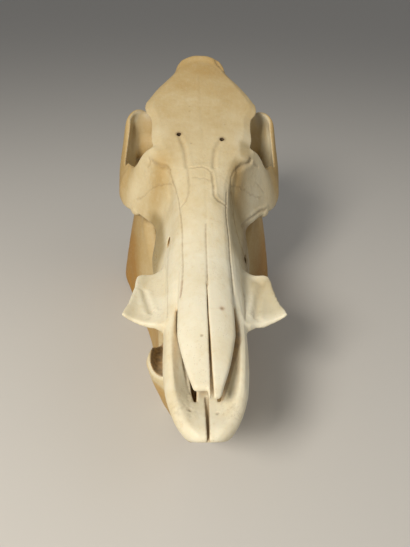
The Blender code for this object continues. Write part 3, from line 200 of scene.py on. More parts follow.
# ---------------------------------------------------------------- shapes
# A shape is (distance function of x, y, z, low corner, high corner).
def ellipsoid(c, r, rot=(0, 0, 0)):
    a, b, g = (math.radians(v) for v in rot)
    mx = np.array([[1, 0, 0], [0, math.cos(a), -math.sin(a)], [0, math.sin(a), math.cos(a)]])
    my = np.array([[math.cos(b), 0, math.sin(b)], [0, 1, 0], [-math.sin(b), 0, math.cos(b)]])
    mz = np.array([[math.cos(g), -math.sin(g), 0], [math.sin(g), math.cos(g), 0], [0, 0, 1]])
    A = (mz @ my @ mx).T
    ext = np.sqrt(((A * np.array(r)[:, None]) ** 2).sum(0))

    def f(x, y, z):
        dx, dy, dz = x - c[0], y - c[1], z - c[2]
        q = [A[i, 0] * dx + A[i, 1] * dy + A[i, 2] * dz for i in range(3)]
        k0 = np.sqrt(sum((q[i] / r[i]) ** 2 for i in range(3))) + 1e-6
        k1 = np.sqrt(sum((q[i] / r[i] ** 2) ** 2 for i in range(3))) + 1e-6
        return k0 * (k0 - 1) / k1

    return f, np.array(c) - ext, np.array(c) + ext


def catmull(P, per, closed=False):
    """Smooth line through points; closed makes a ring."""
    P = np.array(P, float)
    n = len(P)
    out = []
    for i in range(n if closed else n - 1):
        p0 = P[i - 1] if closed else P[max(i - 1, 0)]
        p1, p2 = P[i], P[(i + 1) % n]
        p3 = P[(i + 2) % n] if closed else P[min(i + 2, n - 1)]
        for j in range(per):
            t = j / per
            out.append(0.5 * (2 * p1 + (p2 - p0) * t + (2 * p0 - 5 * p1 + 4 * p2 - p3) * t * t + (3 * p1 - p0 - 3 * p2 + p3) * t ** 3))
    if not closed:
        out.append(P[-1])
    return np.array(out)


def sweep(rows, up=(0, 0, 1), per=4):
    """Bar along a path of (x, y, z, half width across, half width along up)."""
    R = catmull(rows, per)
    up = np.array(up, float)
    P, S = R[:, :3], R[:, 3:5]
    rad = S.max(1)
    lo, hi = (P - rad[:, None]).min(0), (P + rad[:, None]).max(0)

    def f(x, y, z):
        best = None
        for i in range(len(P) - 1):
            a, b = P[i], P[i + 1]
            d = b - a
            L = float(d @ d) + 1e-9
            t = np.clip(((x - a[0]) * d[0] + (y - a[1]) * d[1] + (z - a[2]) * d[2]) / L, 0, 1)
            qx, qy, qz = x - (a[0] + t * d[0]), y - (a[1] + t * d[1]), z - (a[2] + t * d[2])
            T = d / math.sqrt(L)
            U = up - (up @ T) * T
            U /= np.linalg.norm(U) + 1e-9
            W = np.cross(T, U)
            ra = S[i, 0] + t * (S[i + 1, 0] - S[i, 0])
            rb = S[i, 1] + t * (S[i + 1, 1] - S[i, 1])
            rc = np.minimum(ra, rb)
            qs = qx * W[0] + qy * W[1] + qz * W[2]
            qu = qx * U[0] + qy * U[1] + qz * U[2]
            qt = qx * T[0] + qy * T[1] + qz * T[2]
            k0 = np.sqrt((qs / ra) ** 2 + (qu / rb) ** 2 + (qt / rc) ** 2) + 1e-6
            k1 = np.sqrt((qs / ra ** 2) ** 2 + (qu / rb ** 2) ** 2 + (qt / rc ** 2) ** 2) + 1e-6
            v = k0 * (k0 - 1) / k1
            best = v if best is None else np.minimum(best, v)
        return best

    return f, lo, hi


def ring_distance(u, v, V):
    """Signed distance to a closed outline, negative inside."""
    n = len(V)
    d = None
    s = np.ones(u.shape, np.float32)
    for i in range(n):
        a, b = V[i], V[(i + 1) % n]
        ex, ey = float(b[0] - a[0]), float(b[1] - a[1])
        wx, wy = u - a[0], v - a[1]
        t = np.clip((wx * ex + wy * ey) / (ex * ex + ey * ey + 1e-12), 0, 1)
        dd = (wx - ex * t) ** 2 + (wy - ey * t) ** 2
        d = dd if d is None else np.minimum(d, dd)
        c1, c2, c3 = v >= a[1], v < b[1], ex * wy > ey * wx
        s = np.where((c1 & c2 & c3) | (~c1 & ~c2 & ~c3), -s, s)
    return s * np.sqrt(d)


def loft(sections, y0, y1, edge):
    """Body whose half outline, from the top midline round to the bottom midline, is given
    by pairs of profile curves (x, z) along y; the other half is its mirror image."""
    zero = [(y0 - 50, 0), (y1 + 50, 0)]
    C = [(curve(px or zero), curve(pz)) for px, pz in sections]
    K = len(C)
    xm = max(v for px, pz in sections if px for _, v in px)
    zs = [v for px, pz in sections for _, v in pz]
    ya, yb = sections[0][1][0][0], sections[0][1][-1][0]

    def f(x, y, z):
        ax = np.abs(x)
        yc = np.clip(y, ya, yb)
        P = [(cx(yc), cz(yc)) for cx, cz in C]
        G = [(-P[1][0], P[1][1])] + P + [(-P[-2][0], P[-2][1])]
        V = []
        for i in range(1, K + 1):
            V.append(G[i])
            if i < K:
                V.append(tuple((-G[i - 1][c] + 9 * G[i][c] + 9 * G[i + 1][c] - G[i + 2][c]) / 16 for c in (0, 1)))
        n = len(V)
        d = None
        s = np.ones(ax.shape, bool)
        for i in range(n):
            a, b = V[i], V[(i + 1) % n]
            ex, ey = b[0] - a[0], b[1] - a[1]
            wx, wy = ax - a[0], z - a[1]
            if i < n - 1:
                t = np.clip((wx * ex + wy * ey) / (ex * ex + ey * ey + 1e-9), 0, 1)
                dd = (wx - ex * t) ** 2 + (wy - ey * t) ** 2
                d = dd if d is None else np.minimum(d, dd)
            c1, c2, c3 = z >= a[1], z < b[1], ex * wy > ey * wx
            s ^= (c1 & c2 & c3) | (~c1 & ~c2 & ~c3)
        d = np.where(s, np.sqrt(d), -np.sqrt(d))
        return smax(smax(d, y0 - y, edge), y - y1, edge)

    return f, *box_of((-xm, y0, min(zs)), (xm, y1, max(zs)))


def mirrored(shape):
    f, lo, hi = shape
    return (lambda x, y, z: f(np.abs(x), y, z)), np.array([-hi[0], lo[1], lo[2]]), np.array([hi[0], hi[1], hi[2]])


class Solid:
    """Additions and cuts, each worked out only near its own box."""

    def __init__(self):
        self.ops = []

    def add(self, shape, k=3.0, both=False):
        self.ops.append((1, mirrored(shape) if both else shape, k))

    def cut(self, shape, k=1.5, both=False):
        self.ops.append((-1, mirrored(shape) if both else shape, k))

    def bounds(self):
        lo = np.min([s[1] for g, s, k in self.ops if g > 0], 0)
        hi = np.max([s[2] for g, s, k in self.ops if g > 0], 0)
        return lo, hi

    def __call__(self, x, y, z, reach=6.0):
        d = np.full(x.shape, 50.0, np.float32)
        for g, (f, lo, hi), k in self.ops:
            m = reach + k
            i = np.flatnonzero(
                (x > lo[0] - m) & (x < hi[0] + m)
                & (y > lo[1] - m) & (y < hi[1] + m)
                & (z > lo[2] - m) & (z < hi[2] + m)
            )
            if len(i):
                v = f(x[i], y[i], z[i]).astype(np.float32)
                d[i] = smin(d[i], v, k) if g > 0 else smax(d[i], -v, k)
        return d


# ---------------------------------------------------------------- bones of the cranium
nasal_top, nasal_x, nasal_thick = curve(NASAL_TOP_Z), curve(NASAL_X), line(NASAL_THICK)
crest_x, upper_x = curve(CHEEK_CREST_X), curve(CHEEK_UPPER_X)
low_z, high_z, cheek_bend, cheek_thick = curve(CHEEK_LOW_Z), curve(CHEEK_HIGH_Z), curve(CHEEK_BEND), line(CHEEK_THICK)


def nasal_roof(x, y):
    """Height of the vaulted top of the nasal bones."""
    return nasal_top(y) - 5.2 * (np.abs(x) / 18.5) ** 2.4


def nasals():
    def f(x, y, z):
        top = nasal_roof(x, y)
        d = smax((z - top) * 0.95, (top - nasal_thick(y) - z) * 0.95, 0)
        d = smax(d, np.abs(x) - nasal_x(y), 2.2)
        d = smax(d, NASAL_TIP + np.where(x < 0, TIP_STEP, 0) - y, 2.5)
        return smax(d, y - NASAL_END - 6, 4)
    return f, *box_of((-20, 15, 92), (20, 216, 176))


def cheek_face(y, z):
    """How far out the face of the cheek and the arch stands."""
    zl, zh = low_z(y), high_z(y)
    s = np.clip((z - zl) / np.maximum(zh - zl, 1), 0, 1.05)
    xo = crest_x(y) + (upper_x(y) - crest_x(y)) * s ** cheek_bend(y)
    return (xo - 3 * np.clip((zl - z) / 10, 0, 1) ** 2).astype(np.float32)


def cheek_plate():
    ring = catmull(CHEEK_RING, 2, True)

    def f(x, y, z):
        ax, xo = np.abs(x), cheek_face(y, z)
        s = (z - low_z(y)) / np.maximum(high_z(y) - low_z(y), 1)
        ledge = 7 * sstep(0.75, 0.2, s) * sstep(258, 272, y) * sstep(306, 296, y)
        d = smax((ax - xo) * 0.85, (xo - cheek_thick(y) - ledge - ax) * 0.85, 2.0)
        return smax(d, ring_distance(y, z, ring), 4.5)
    return f, *box_of((-84, 188, 98), (84, 326, 195))


def cheek_block():
    """Solid bone between the face and the plate, in front of the orbit."""
    ring = catmull(CHEEK_BLOCK_RING, 2, True)

    def f(x, y, z):
        ax = np.abs(x)
        d = smax((ax - cheek_face(y, z)) * 0.85, 18 - ax, 1.0)
        return smax(d, ring_distance(y, z, ring), 3)
    return f, *box_of((-80, 188, 104), (80, 268, 174))


def wing():
    """Bony shelf over the socket of the upper tusk, thin at its rim."""
    plan, top_z, thick = catmull(WING_PLAN, 2, True), curve(WING_TOP), line(WING_THICK)

    def f(x, y, z):
        ax = np.abs(x)
        top = top_z(ax) + 2.2 * np.exp(-((ax - 50 + (y - 120) * 0.16) / 4.5) ** 2) + 0.04 * (y - 105)
        d = smax((z - top) * 0.9, (top - thick(ax) - z) * 0.8, 2)
        return smax(d, ring_distance(ax, y, plan), 2.2)
    return f, *box_of((-60, 74, 78), (60, 152, 118))


def pterygoid():
    ring = catmull(PTERYGOID_RING, 2, True)
    f = lambda x, y, z: smax(np.abs(np.abs(x) - 14.5 - 0.05 * (y - 235)) - 2.4, ring_distance(y, z, ring), 2)
    return f, *box_of((-20, 212, 74), (20, 266, 114))


def tooth(y0, y1, x, w, root, tip):
    """Crown with one, two or three lobes and low cusps."""
    cy, hy, hx = (y0 + y1) / 2, (y1 - y0) / 2, w / 2
    zc, hz, r = (root + tip) / 2, abs(root - tip) / 2, 1.8
    n = 1 if hy < 9 else (2 if hy < 14 else 3)
    up = 1 if tip > root else -1

    def f(px, y, z):
        u = (y - cy) / hy
        ww = hx * (1 - 0.08 * (1 + np.cos(math.pi * n * (u + 1))) - (0.18 * np.clip(u, 0, 1) ** 2 if n == 3 else 0))
        qx, qy, qz = np.abs(px - x) - ww + r, np.abs(y - cy) - hy + r, np.abs(z - zc) - hz + r
        d = np.sqrt(np.maximum(qx, 0) ** 2 + np.maximum(qy, 0) ** 2 + np.maximum(qz, 0) ** 2) + np.minimum(np.maximum(qx, np.maximum(qy, qz)), 0) - r
        cusps = 0.45 * np.cos(math.pi * (px - x) / hx) + 0.4 * np.cos(2 * math.pi * n * (y - y0) / (y1 - y0))
        return smax(d, (z - tip) * up + 1.1 + cusps * 0.9, 1)
    return f, *box_of((x - hx, y0, min(root, tip)), (x + hx, y1, max(root, tip)))


def temporal_hollow():
    """Bowl between braincase and arch, open below for the jaw's upper end."""
    inner_x = line([(246, 34), (275, 33), (300, 35), (312, 40)])
    roof_z = line([(246, 166), (275, 177), (300, 187), (312, 192)])

    def f(x, y, z):
        ax = np.abs(x)
        inner = inner_x(y) + np.clip(z - roof_z(y), 0, 30) * 1.7
        lean = np.clip((z - 150) / 40, -0.6, 1)
        q = (np.abs((ax - 44) / (29.5 - lean)) ** 2.4 + np.abs((y - 262) / (39 + 2 * lean)) ** 2.4) ** (1 / 2.4)
        front = (250 - 9 * (1 - sstep(122, 146, z)) + 0.5 * np.clip(ax - 46, 0, 30) + 0.9 * np.clip(ax - 58, 0, 12) - y) * 0.8
        return smax(smax((q - 1) * 27, inner - ax, 2), smax(z - 205, front, 4), 3)
    return f, *box_of((-76, 234, 98), (76, 304, 206))


def nasal_cavity():
    top = curve([(-5, 110), (30, 108), (60, 113), (90, 117), (120, 122), (160, 130)])
    floor = curve([(-5, 90), (20, 89.5), (40, 87), (60, 88), (100, 92), (160, 98)])
    half = curve([(-5, 9), (14, 11), (25, 15), (40, 19.5), (60, 20.5), (80, 19.5), (110, 16), (160, 12)])

    def f(x, y, z):
        a, b = top(y), floor(y)
        u = np.clip((z - b) / np.maximum(a - b, 1), 0, 1)
        side = 1 - 0.19 * sstep(75, 55, y)     # the walls stand further in towards the front
        d = smax(smax(b - z, z - a, 0) * 0.9, (np.abs(x) - side * half(y) * (0.45 + 0.62 * np.sqrt(u))) * 0.85, 6)
        return smax(smax(d, y - 150, 8), 13.5 - y, 8)
    return f, *box_of((-22, 8, 84), (22, 156, 134))


def midline_gap():
    """Gap between the tips of the nasal bones and between the premaxillae; in front it keeps a floor at z 85, a sheet
    painted dark as the shade in the gap.
    """
    lean = line([(0, 1.6), (22, 2.0), (45, 1.6), (80, 1.1), (110, 1.3)])
    nasal_gap = line([(14, 0.95), (25, 0.9), (45, 0.65), (70, 0.42), (95, 0.3), (110, 0.2)])
    front_gap = line([(0, 0.5), (3, 0.5), (8, 0.65), (20, 0.85), (30, 0.95)])

    def f(x, y, z):
        up = z > 98
        d = np.abs(x - np.where(up, lean(y), -0.3)) - np.where(up, nasal_gap(y), front_gap(y))
        return np.maximum(np.maximum(d, y - np.where(up, 110, 34)), np.where(y < 34, 85.0 - z, -50))
    return f, *box_of((-4, -2, 70), (4, 112, 136))


def make_cranium():
    S = Solid()
    S.add(loft([(None, CROWN_Z), (SHOULDER_X, SHOULDER_Z), (EDGE_X, EDGE_Z), (FLANK_X, FLANK_Z), (WALL_X, WALL_Z), (BORDER_X, BORDER_Z), (PALATE_X, PALATE_Z), (None, BASE_Z)], 0.3, BACK_END, 3.0), 0)
    back = lambda x, y, z: (BACK_FOOT + (z - 140) * BACK_SLOPE - y) * 0.96
    S.cut((back, *box_of((-60, 320, 90), (60, 380, 245))), 5)
    S.add(cheek_block(), 6)
    S.add(cheek_plate(), 4)
    S.add(ellipsoid((58.5, 238, 111), (5.5, 5.5, 3.8), (0, 0, 20)), 4, True)
    # root of the arch on the braincase
    S.add(sweep([(30, 300, 154, 8, 12), (48, 306, 148, 7, 11), (62, 309, 150, 7, 13), (70, 306, 152, 7, 13)]), 8, True)
    # ridge behind the joint surface
    S.add(ellipsoid((64, 318, 136), (10, 4.5, 11)), 4, True)
    # bony ear canal, rising outwards
    S.add(sweep([(36, 318, 140, 9, 9), (48, 322, 153, 8, 8), (57, 322, 166, 7, 7), (60, 321, 172, 6, 6)], (0, 1, 0)), 6, True)
    # temporal crest from the ear to the nuchal crest
    S.add(sweep([(57, 320, 170, 4, 6), (48, 329, 180, 3.4, 8), (39, 338, 190, 3, 9), (31, 346, 199, 3, 10), (25, 351.5, 209, 2.8, 9)], (0, 1, 0.5)), 6, True)
    # nuchal crest, mirrored from one half
    c = CREST_HALF
    half = [(c - 0.3, 349, 210.5, 2.4, 6), (c - 5.5, 354.5, 219, 2.6, 5.2), (c - 13, 358, 224, 3, 4.2)]
    S.add(sweep([(-x, y, z, a, b) for x, y, z, a, b in half] + [(0, 358.6, 224.8, 3, 4.2)] + half[::-1], (0, 0.3, 1)), 5)
    # rear wall of the temporal hollow, from the braincase out to the arch
    S.add(sweep([(30, 311, 158, 7, 21), (46, 312, 160, 6, 23), (58, 312, 163, 5.5, 21), (66, 309, 164, 5, 17)]), 5, True)
    # side of the occiput, running down into the jugular process
    S.add(sweep([(46, 330, 178, 5, 8), (44, 334, 160, 5, 9), (38, 331, 140, 6, 10), (34, 329, 122, 6, 9), (34, 331, 98, 4.5, 7), (33, 334, 74, 3, 4.5), (33, 335, 66, 2.2, 3)], (0, 1, 0)), 6, True)
    # occipital condyles, tympanic bullae with their points
    S.add(ellipsoid((15.5, 341, 130), (8.5, 10, 15), (25, 0, -25)), 4, True)
    S.add(ellipsoid((25, 304, 101), (8.5, 13, 17), (-15, 0, 12)), 5, True)
    S.add(ellipsoid((24, 301, 86), (5, 6, 9), (-15, 0, 12)), 4, True)
    # bar of the skull base
    S.add(sweep([(0, 238, 103, 10, 7), (0, 262, 107, 10, 7), (0, 300, 111, 12, 8), (0, 334, 118, 15, 8)]), 5)
    S.add(pterygoid(), 3)
    # shelf over the tusk socket, and the swelling of the socket itself
    S.add(wing(), 2)
    S.add(sweep([(25, 146, 97, 8, 10), (31, 133, 95, 9.5, 11), (37, 122, 93, 10, 11), (41, 115, 91.5, 10, 10.5)]), 4, True)
    for y0, y1, x, w, tip in UPPER_TEETH:
        S.add(tooth(y0, y1, x, w, 78, tip), 1.0, True)
    # orbit, temporal hollow, joint surface, ear opening
    S.cut(ellipsoid((62, 263, 163), (26, 18, 16.5), (0, 0, -8)), 3, True)
    S.cut(temporal_hollow(), 3)
    # process behind the orbit, hanging from the brow
    S.add(sweep([(49, 290, 185, 6, 3.8), (50.6, 290, 182, 6, 3.6), (51.2, 290, 178, 5.6, 3.3), (51.2, 289.5, 174.5, 4.8, 3)], (0, 1, 0)), 2.5, True)
    S.cut(ellipsoid((57, 304.5, 131), (14, 9.5, 7.5)), 2, True)
    S.cut(sweep([(68, 321, 179, 4.2, 4.2), (60, 321.5, 171, 3.6, 3.6), (53, 322, 159, 3, 3)], (0, 1, 0)), 1.5, True)
    # hollow under the nuchal crest, and the opening for the spinal cord
    S.cut(ellipsoid((0, 368, 196), (19, 15, 26), (-16, 0, 0)), 4)
    S.cut(sweep([(0, 352, 143, 11.5, 10.5), (0, 330, 143, 10.5, 9.5), (0, 312, 147, 9, 8)]), 2)
    # nasal passage, then the nasal bones over it
    S.cut(nasal_cavity(), 2)
    S.add(nasals(), 0.8)
    # sloping end of the snout, gap along the midline, slits in the palate
    S.cut((lambda x, y, z: (y - 0.8 - 0.8 * (87 - z)) * 0.78, *box_of((-20, -4, 70), (20, 20, 92))), 2.5)
    S.cut(midline_gap(), 0.6)
    S.cut(sweep([(7.4, 30, 84, 0.9, 12), (8.0, 37, 84, 1.7, 12), (8.4, 46, 84, 1.9, 12), (8.2, 56, 84, 1.2, 12)]), 1.2, True)
    # rear opening of the nose
    S.cut(sweep([(0, 262, 93, 10.5, 8), (0, 240, 93, 10.5, 8), (0, 222, 93, 9.5, 7), (0, 205, 95, 8, 6)]), 2)
    # empty sockets of the upper tusks
    S.cut(sweep([(52, 96, 83, 9, 9), (45, 107, 88.5, 7.8, 8), (38, 119, 92, 7, 7.5), (31, 133, 95, 4.5, 5)]), 1.5, True)
    # holes for nerves: brow, cheek and inner corner of the eye
    for x, y, z in BROW_HOLES:
        S.cut(sweep([(x, y - 1, z + 5, 1.6, 1.6), (x, y, z - 1, 1.6, 1.6), (x, y + 4, z - 11, 1.4, 1.4)], (0, 1, 0)), 0.6)
    S.cut(sweep([(-30, 151, 122, 1.5, 3.2), (-26.6, 160, 122.5, 1.5, 3.4), (-21, 174, 120, 1.3, 2.5)]), 0.8)
    S.cut(sweep([(36, 164, 103, 2.2, 4.2), (31, 172, 104, 2.2, 4.2), (26, 184, 106, 2, 3.5)]), 1)
    return S


# ---------------------------------------------------------------- lower jaw
base_x, ramus_top_x, ramus_top_z = curve(RAMUS_BASE_X), curve(RAMUS_TOP_X), line(RAMUS_TOP_Z)
ramus_bend, ramus_thick = line(RAMUS_BEND), line(RAMUS_THICK)


def ramus():
    """Body and ascending part of the jaw, a leaning plate flared outwards along its base."""
    ring = catmull(RAMUS_RING, 2, True)

    def f(x, y, z):
        edge = ring_distance(y, z, ring)
        s = np.clip(z / ramus_top_z(y), 0, 1)
        mid = base_x(y) + (ramus_top_x(y) - base_x(y)) * s ** ramus_bend(y)
        th = ramus_thick(y) + 1.3 * np.exp(-((edge + 4) / 4.5) ** 2) * sstep(225, 260, y)
        return smax((np.abs(np.abs(x) - mid) - th) * 0.85, edge, 5)
    return f, *box_of((-84, 94, -1.5), (84, 332, 139))


def make_jaw():
    S = Solid()
    S.add(loft([(None, CHIN_TOP_Z), (CHIN_RIM_X, CHIN_RIM_Z), (SOCKET_X, SOCKET_Z), (CHIN_SIDE_X, CHIN_SIDE_Z), (CHIN_KEEL_X, CHIN_KEEL_Z), (None, CHIN_BASE_Z)], 21.5, 112, 2.4), 0)
    S.add(ramus(), 5)
    S.add(ellipsoid((57, 304.5, 126.8), (12.5, 6.5, 5.2)), 3, True)
    for y0, y1, x, w, tip in LOWER_TEETH:
        S.add(tooth(y0, y1, x, w, 52, tip), 1.0, True)
    # empty sockets of the lower tusks and of the front teeth, holes for nerves
    S.cut(sweep(TUSK_SOCKET), 1.0, True)
    for x, y, z, r in ((3.0, 30, 66, 1.9), (7.2, 38, 67, 2.3), (11.8, 48, 69, 1.9)):
        S.cut(sweep([(x * 1.05, y - 8, z + 4, r, r * 1.15), (x, y, z - 1, r, r * 1.1), (x * 0.9, y + 9, z - 8, r * 0.6, r * 0.6)]), 0.8, True)
    S.cut(sweep([(36, 112, 34, 2, 2), (26, 118, 33, 1.6, 1.6)]), 0.8, True)
    S.cut(sweep([(40, 136, 33, 1.6, 1.6), (30, 141, 32, 1.3, 1.3)]), 0.8, True)
    # flat underside it stands on
    S.cut((lambda x, y, z: z, *box_of((-90, 0, -10), (90, 340, 2))), 0)
    return S


# ---------------------------------------------------------------- meshing
def sample(solid, h, lo, hi, levels=3):
    """Distances on a grid of spacing h, exact near the surface and coarse elsewhere."""
    step = 2 ** (levels - 1)
    n = [int(math.ceil((hi[i] - lo[i]) / (h * step))) + 2 for i in range(3)]
    D = None
    for _ in range(levels):
        s = h * step
        if D is None:
            dims = [k + 1 for k in n]
            ax = [(lo[i] + s * np.arange(dims[i])).astype(np.float32) for i in range(3)]
            X, Y, Z = np.meshgrid(*ax, indexing="ij")
            D = solid(X.ravel(), Y.ravel(), Z.ravel(), reach=3 * s + 6).reshape(dims)
        else:
            old = D
            D = np.empty([2 * (k - 1) + 1 for k in old.shape], np.float32)
            for a in (0, 1):
                for b in (0, 1):
                    for c in (0, 1):
                        A = old[: old.shape[0] - a, : old.shape[1] - b, : old.shape[2] - c]
                        B = old[a:, b:, c:]
                        D[a::2, b::2, c::2] = np.where(np.abs(A) < np.abs(B), A, B)
            near = np.flatnonzero(np.abs(D) < 3.5 * s)
            i0, i1, i2 = np.unravel_index(near, D.shape)
            p = [(lo[k] + s * i).astype(np.float32) for k, i in enumerate((i0, i1, i2))]
            D.ravel()[near] = solid(*p, reach=2 * s + 3)
        step //= 2
    return D


def surface_nets(D, h, lo):
    """Quads of the zero surface. Returns points and faces."""
    S = D < 0
    nx, ny, nz = D.shape
    cnt = np.zeros((nx - 1, ny - 1, nz - 1), np.uint8)
    for a in (0, 1):
        for b in (0, 1):
            for c in (0, 1):
                cnt += S[a : nx - 1 + a, b : ny - 1 + b, c : nz - 1 + c]
    cells = np.flatnonzero((cnt > 0) & (cnt < 8))
    ci, cj, ck = np.unravel_index(cells, cnt.shape)
    index = np.full(cnt.size, -1, np.int64)
    index[cells] = np.arange(len(cells))
    flat = D.ravel()
    base = (ci * ny + cj) * nz + ck
    off = lambda a, b, c: (a * ny + b) * nz + c
    acc = np.zeros((len(cells), 3))
    num = np.zeros(len(cells))
    corners = [(a, b, c) for a in (0, 1) for b in (0, 1) for c in (0, 1)]
    vals = {k: flat[base + off(*k)] for k in corners}
    for k in corners:
        for ax in range(3):
            if k[ax] == 0:
                m = list(k)
                m[ax] = 1
                u, v = vals[k], vals[tuple(m)]
                hit = (u < 0) != (v < 0)
                t = np.where(hit, u / np.where(hit, u - v, 1), 0)
                p = np.array(k, float)[None, :].repeat(len(cells), 0)
                p[:, ax] += t
                acc += np.where(hit[:, None], p, 0)
                num += hit
    P = acc / num[:, None] + np.stack([ci, cj, ck], 1)
    P = P * h + np.array(lo)
    quads = []
    cs = cnt.shape
    for ax in range(3):
        sl0 = [slice(None)] * 3
        sl1 = [slice(None)] * 3
        sl0[ax], sl1[ax] = slice(0, -1), slice(1, None)
        A, B = S[tuple(sl0)], S[tuple(sl1)]
        E = np.flatnonzero(A != B)
        e = np.stack(np.unravel_index(E, A.shape), 1)
        o = [i for i in range(3) if i != ax]
        ok = (e[:, o[0]] > 0) & (e[:, o[1]] > 0) & (e[:, o[0]] < cs[o[0]]) & (e[:, o[1]] < cs[o[1]])
        e, inside = e[ok], A[tuple(e[ok].T)]
        q = []
        for du, dv in ((-1, -1), (0, -1), (0, 0), (-1, 0)):
            c = e.copy()
            c[:, o[0]] += du
            c[:, o[1]] += dv
            q.append(index[(c[:, 0] * cs[1] + c[:, 1]) * cs[2] + c[:, 2]])
        q = np.stack(q, 1)
        turn = inside if ax != 1 else ~inside
        q = np.where(turn[:, None], q, q[:, ::-1])
        quads.append(q)
    return P, np.concatenate(quads)


# ---------------------------------------------------------------- surface detail
def noise(x, y, z, size, seed=0):
    """Smooth random values from -1 to 1, one lattice point every size millimetres."""
    p = [np.asarray(v, np.float64) / size for v in (x, y, z)]
    i = [np.floor(v).astype(np.int64) for v in p]
    f = [v - k for v, k in zip(p, i)]
    f = [v * v * (3 - 2 * v) for v in f]
    out = 0.0
    for a in (0, 1):
        for b in (0, 1):
            for c in (0, 1):
                q = ((i[0] + a) * 73856093) ^ ((i[1] + b) * 19349663) ^ ((i[2] + c) * 83492791) ^ (seed * 83647)
                q = (q ^ (q >> 13)) * 1274126177
                q = (q ^ (q >> 16)) & 0xFFFF
                w = (f[0] if a else 1 - f[0]) * (f[1] if b else 1 - f[1]) * (f[2] if c else 1 - f[2])
                out = out + w * (q / 32767.5 - 1)
    return out


def bump_at(v, centre, width):
    """1 at the centre of a range, falling smoothly to 0 beyond its width."""
    return np.exp(-(((v - centre) / width) ** 2))


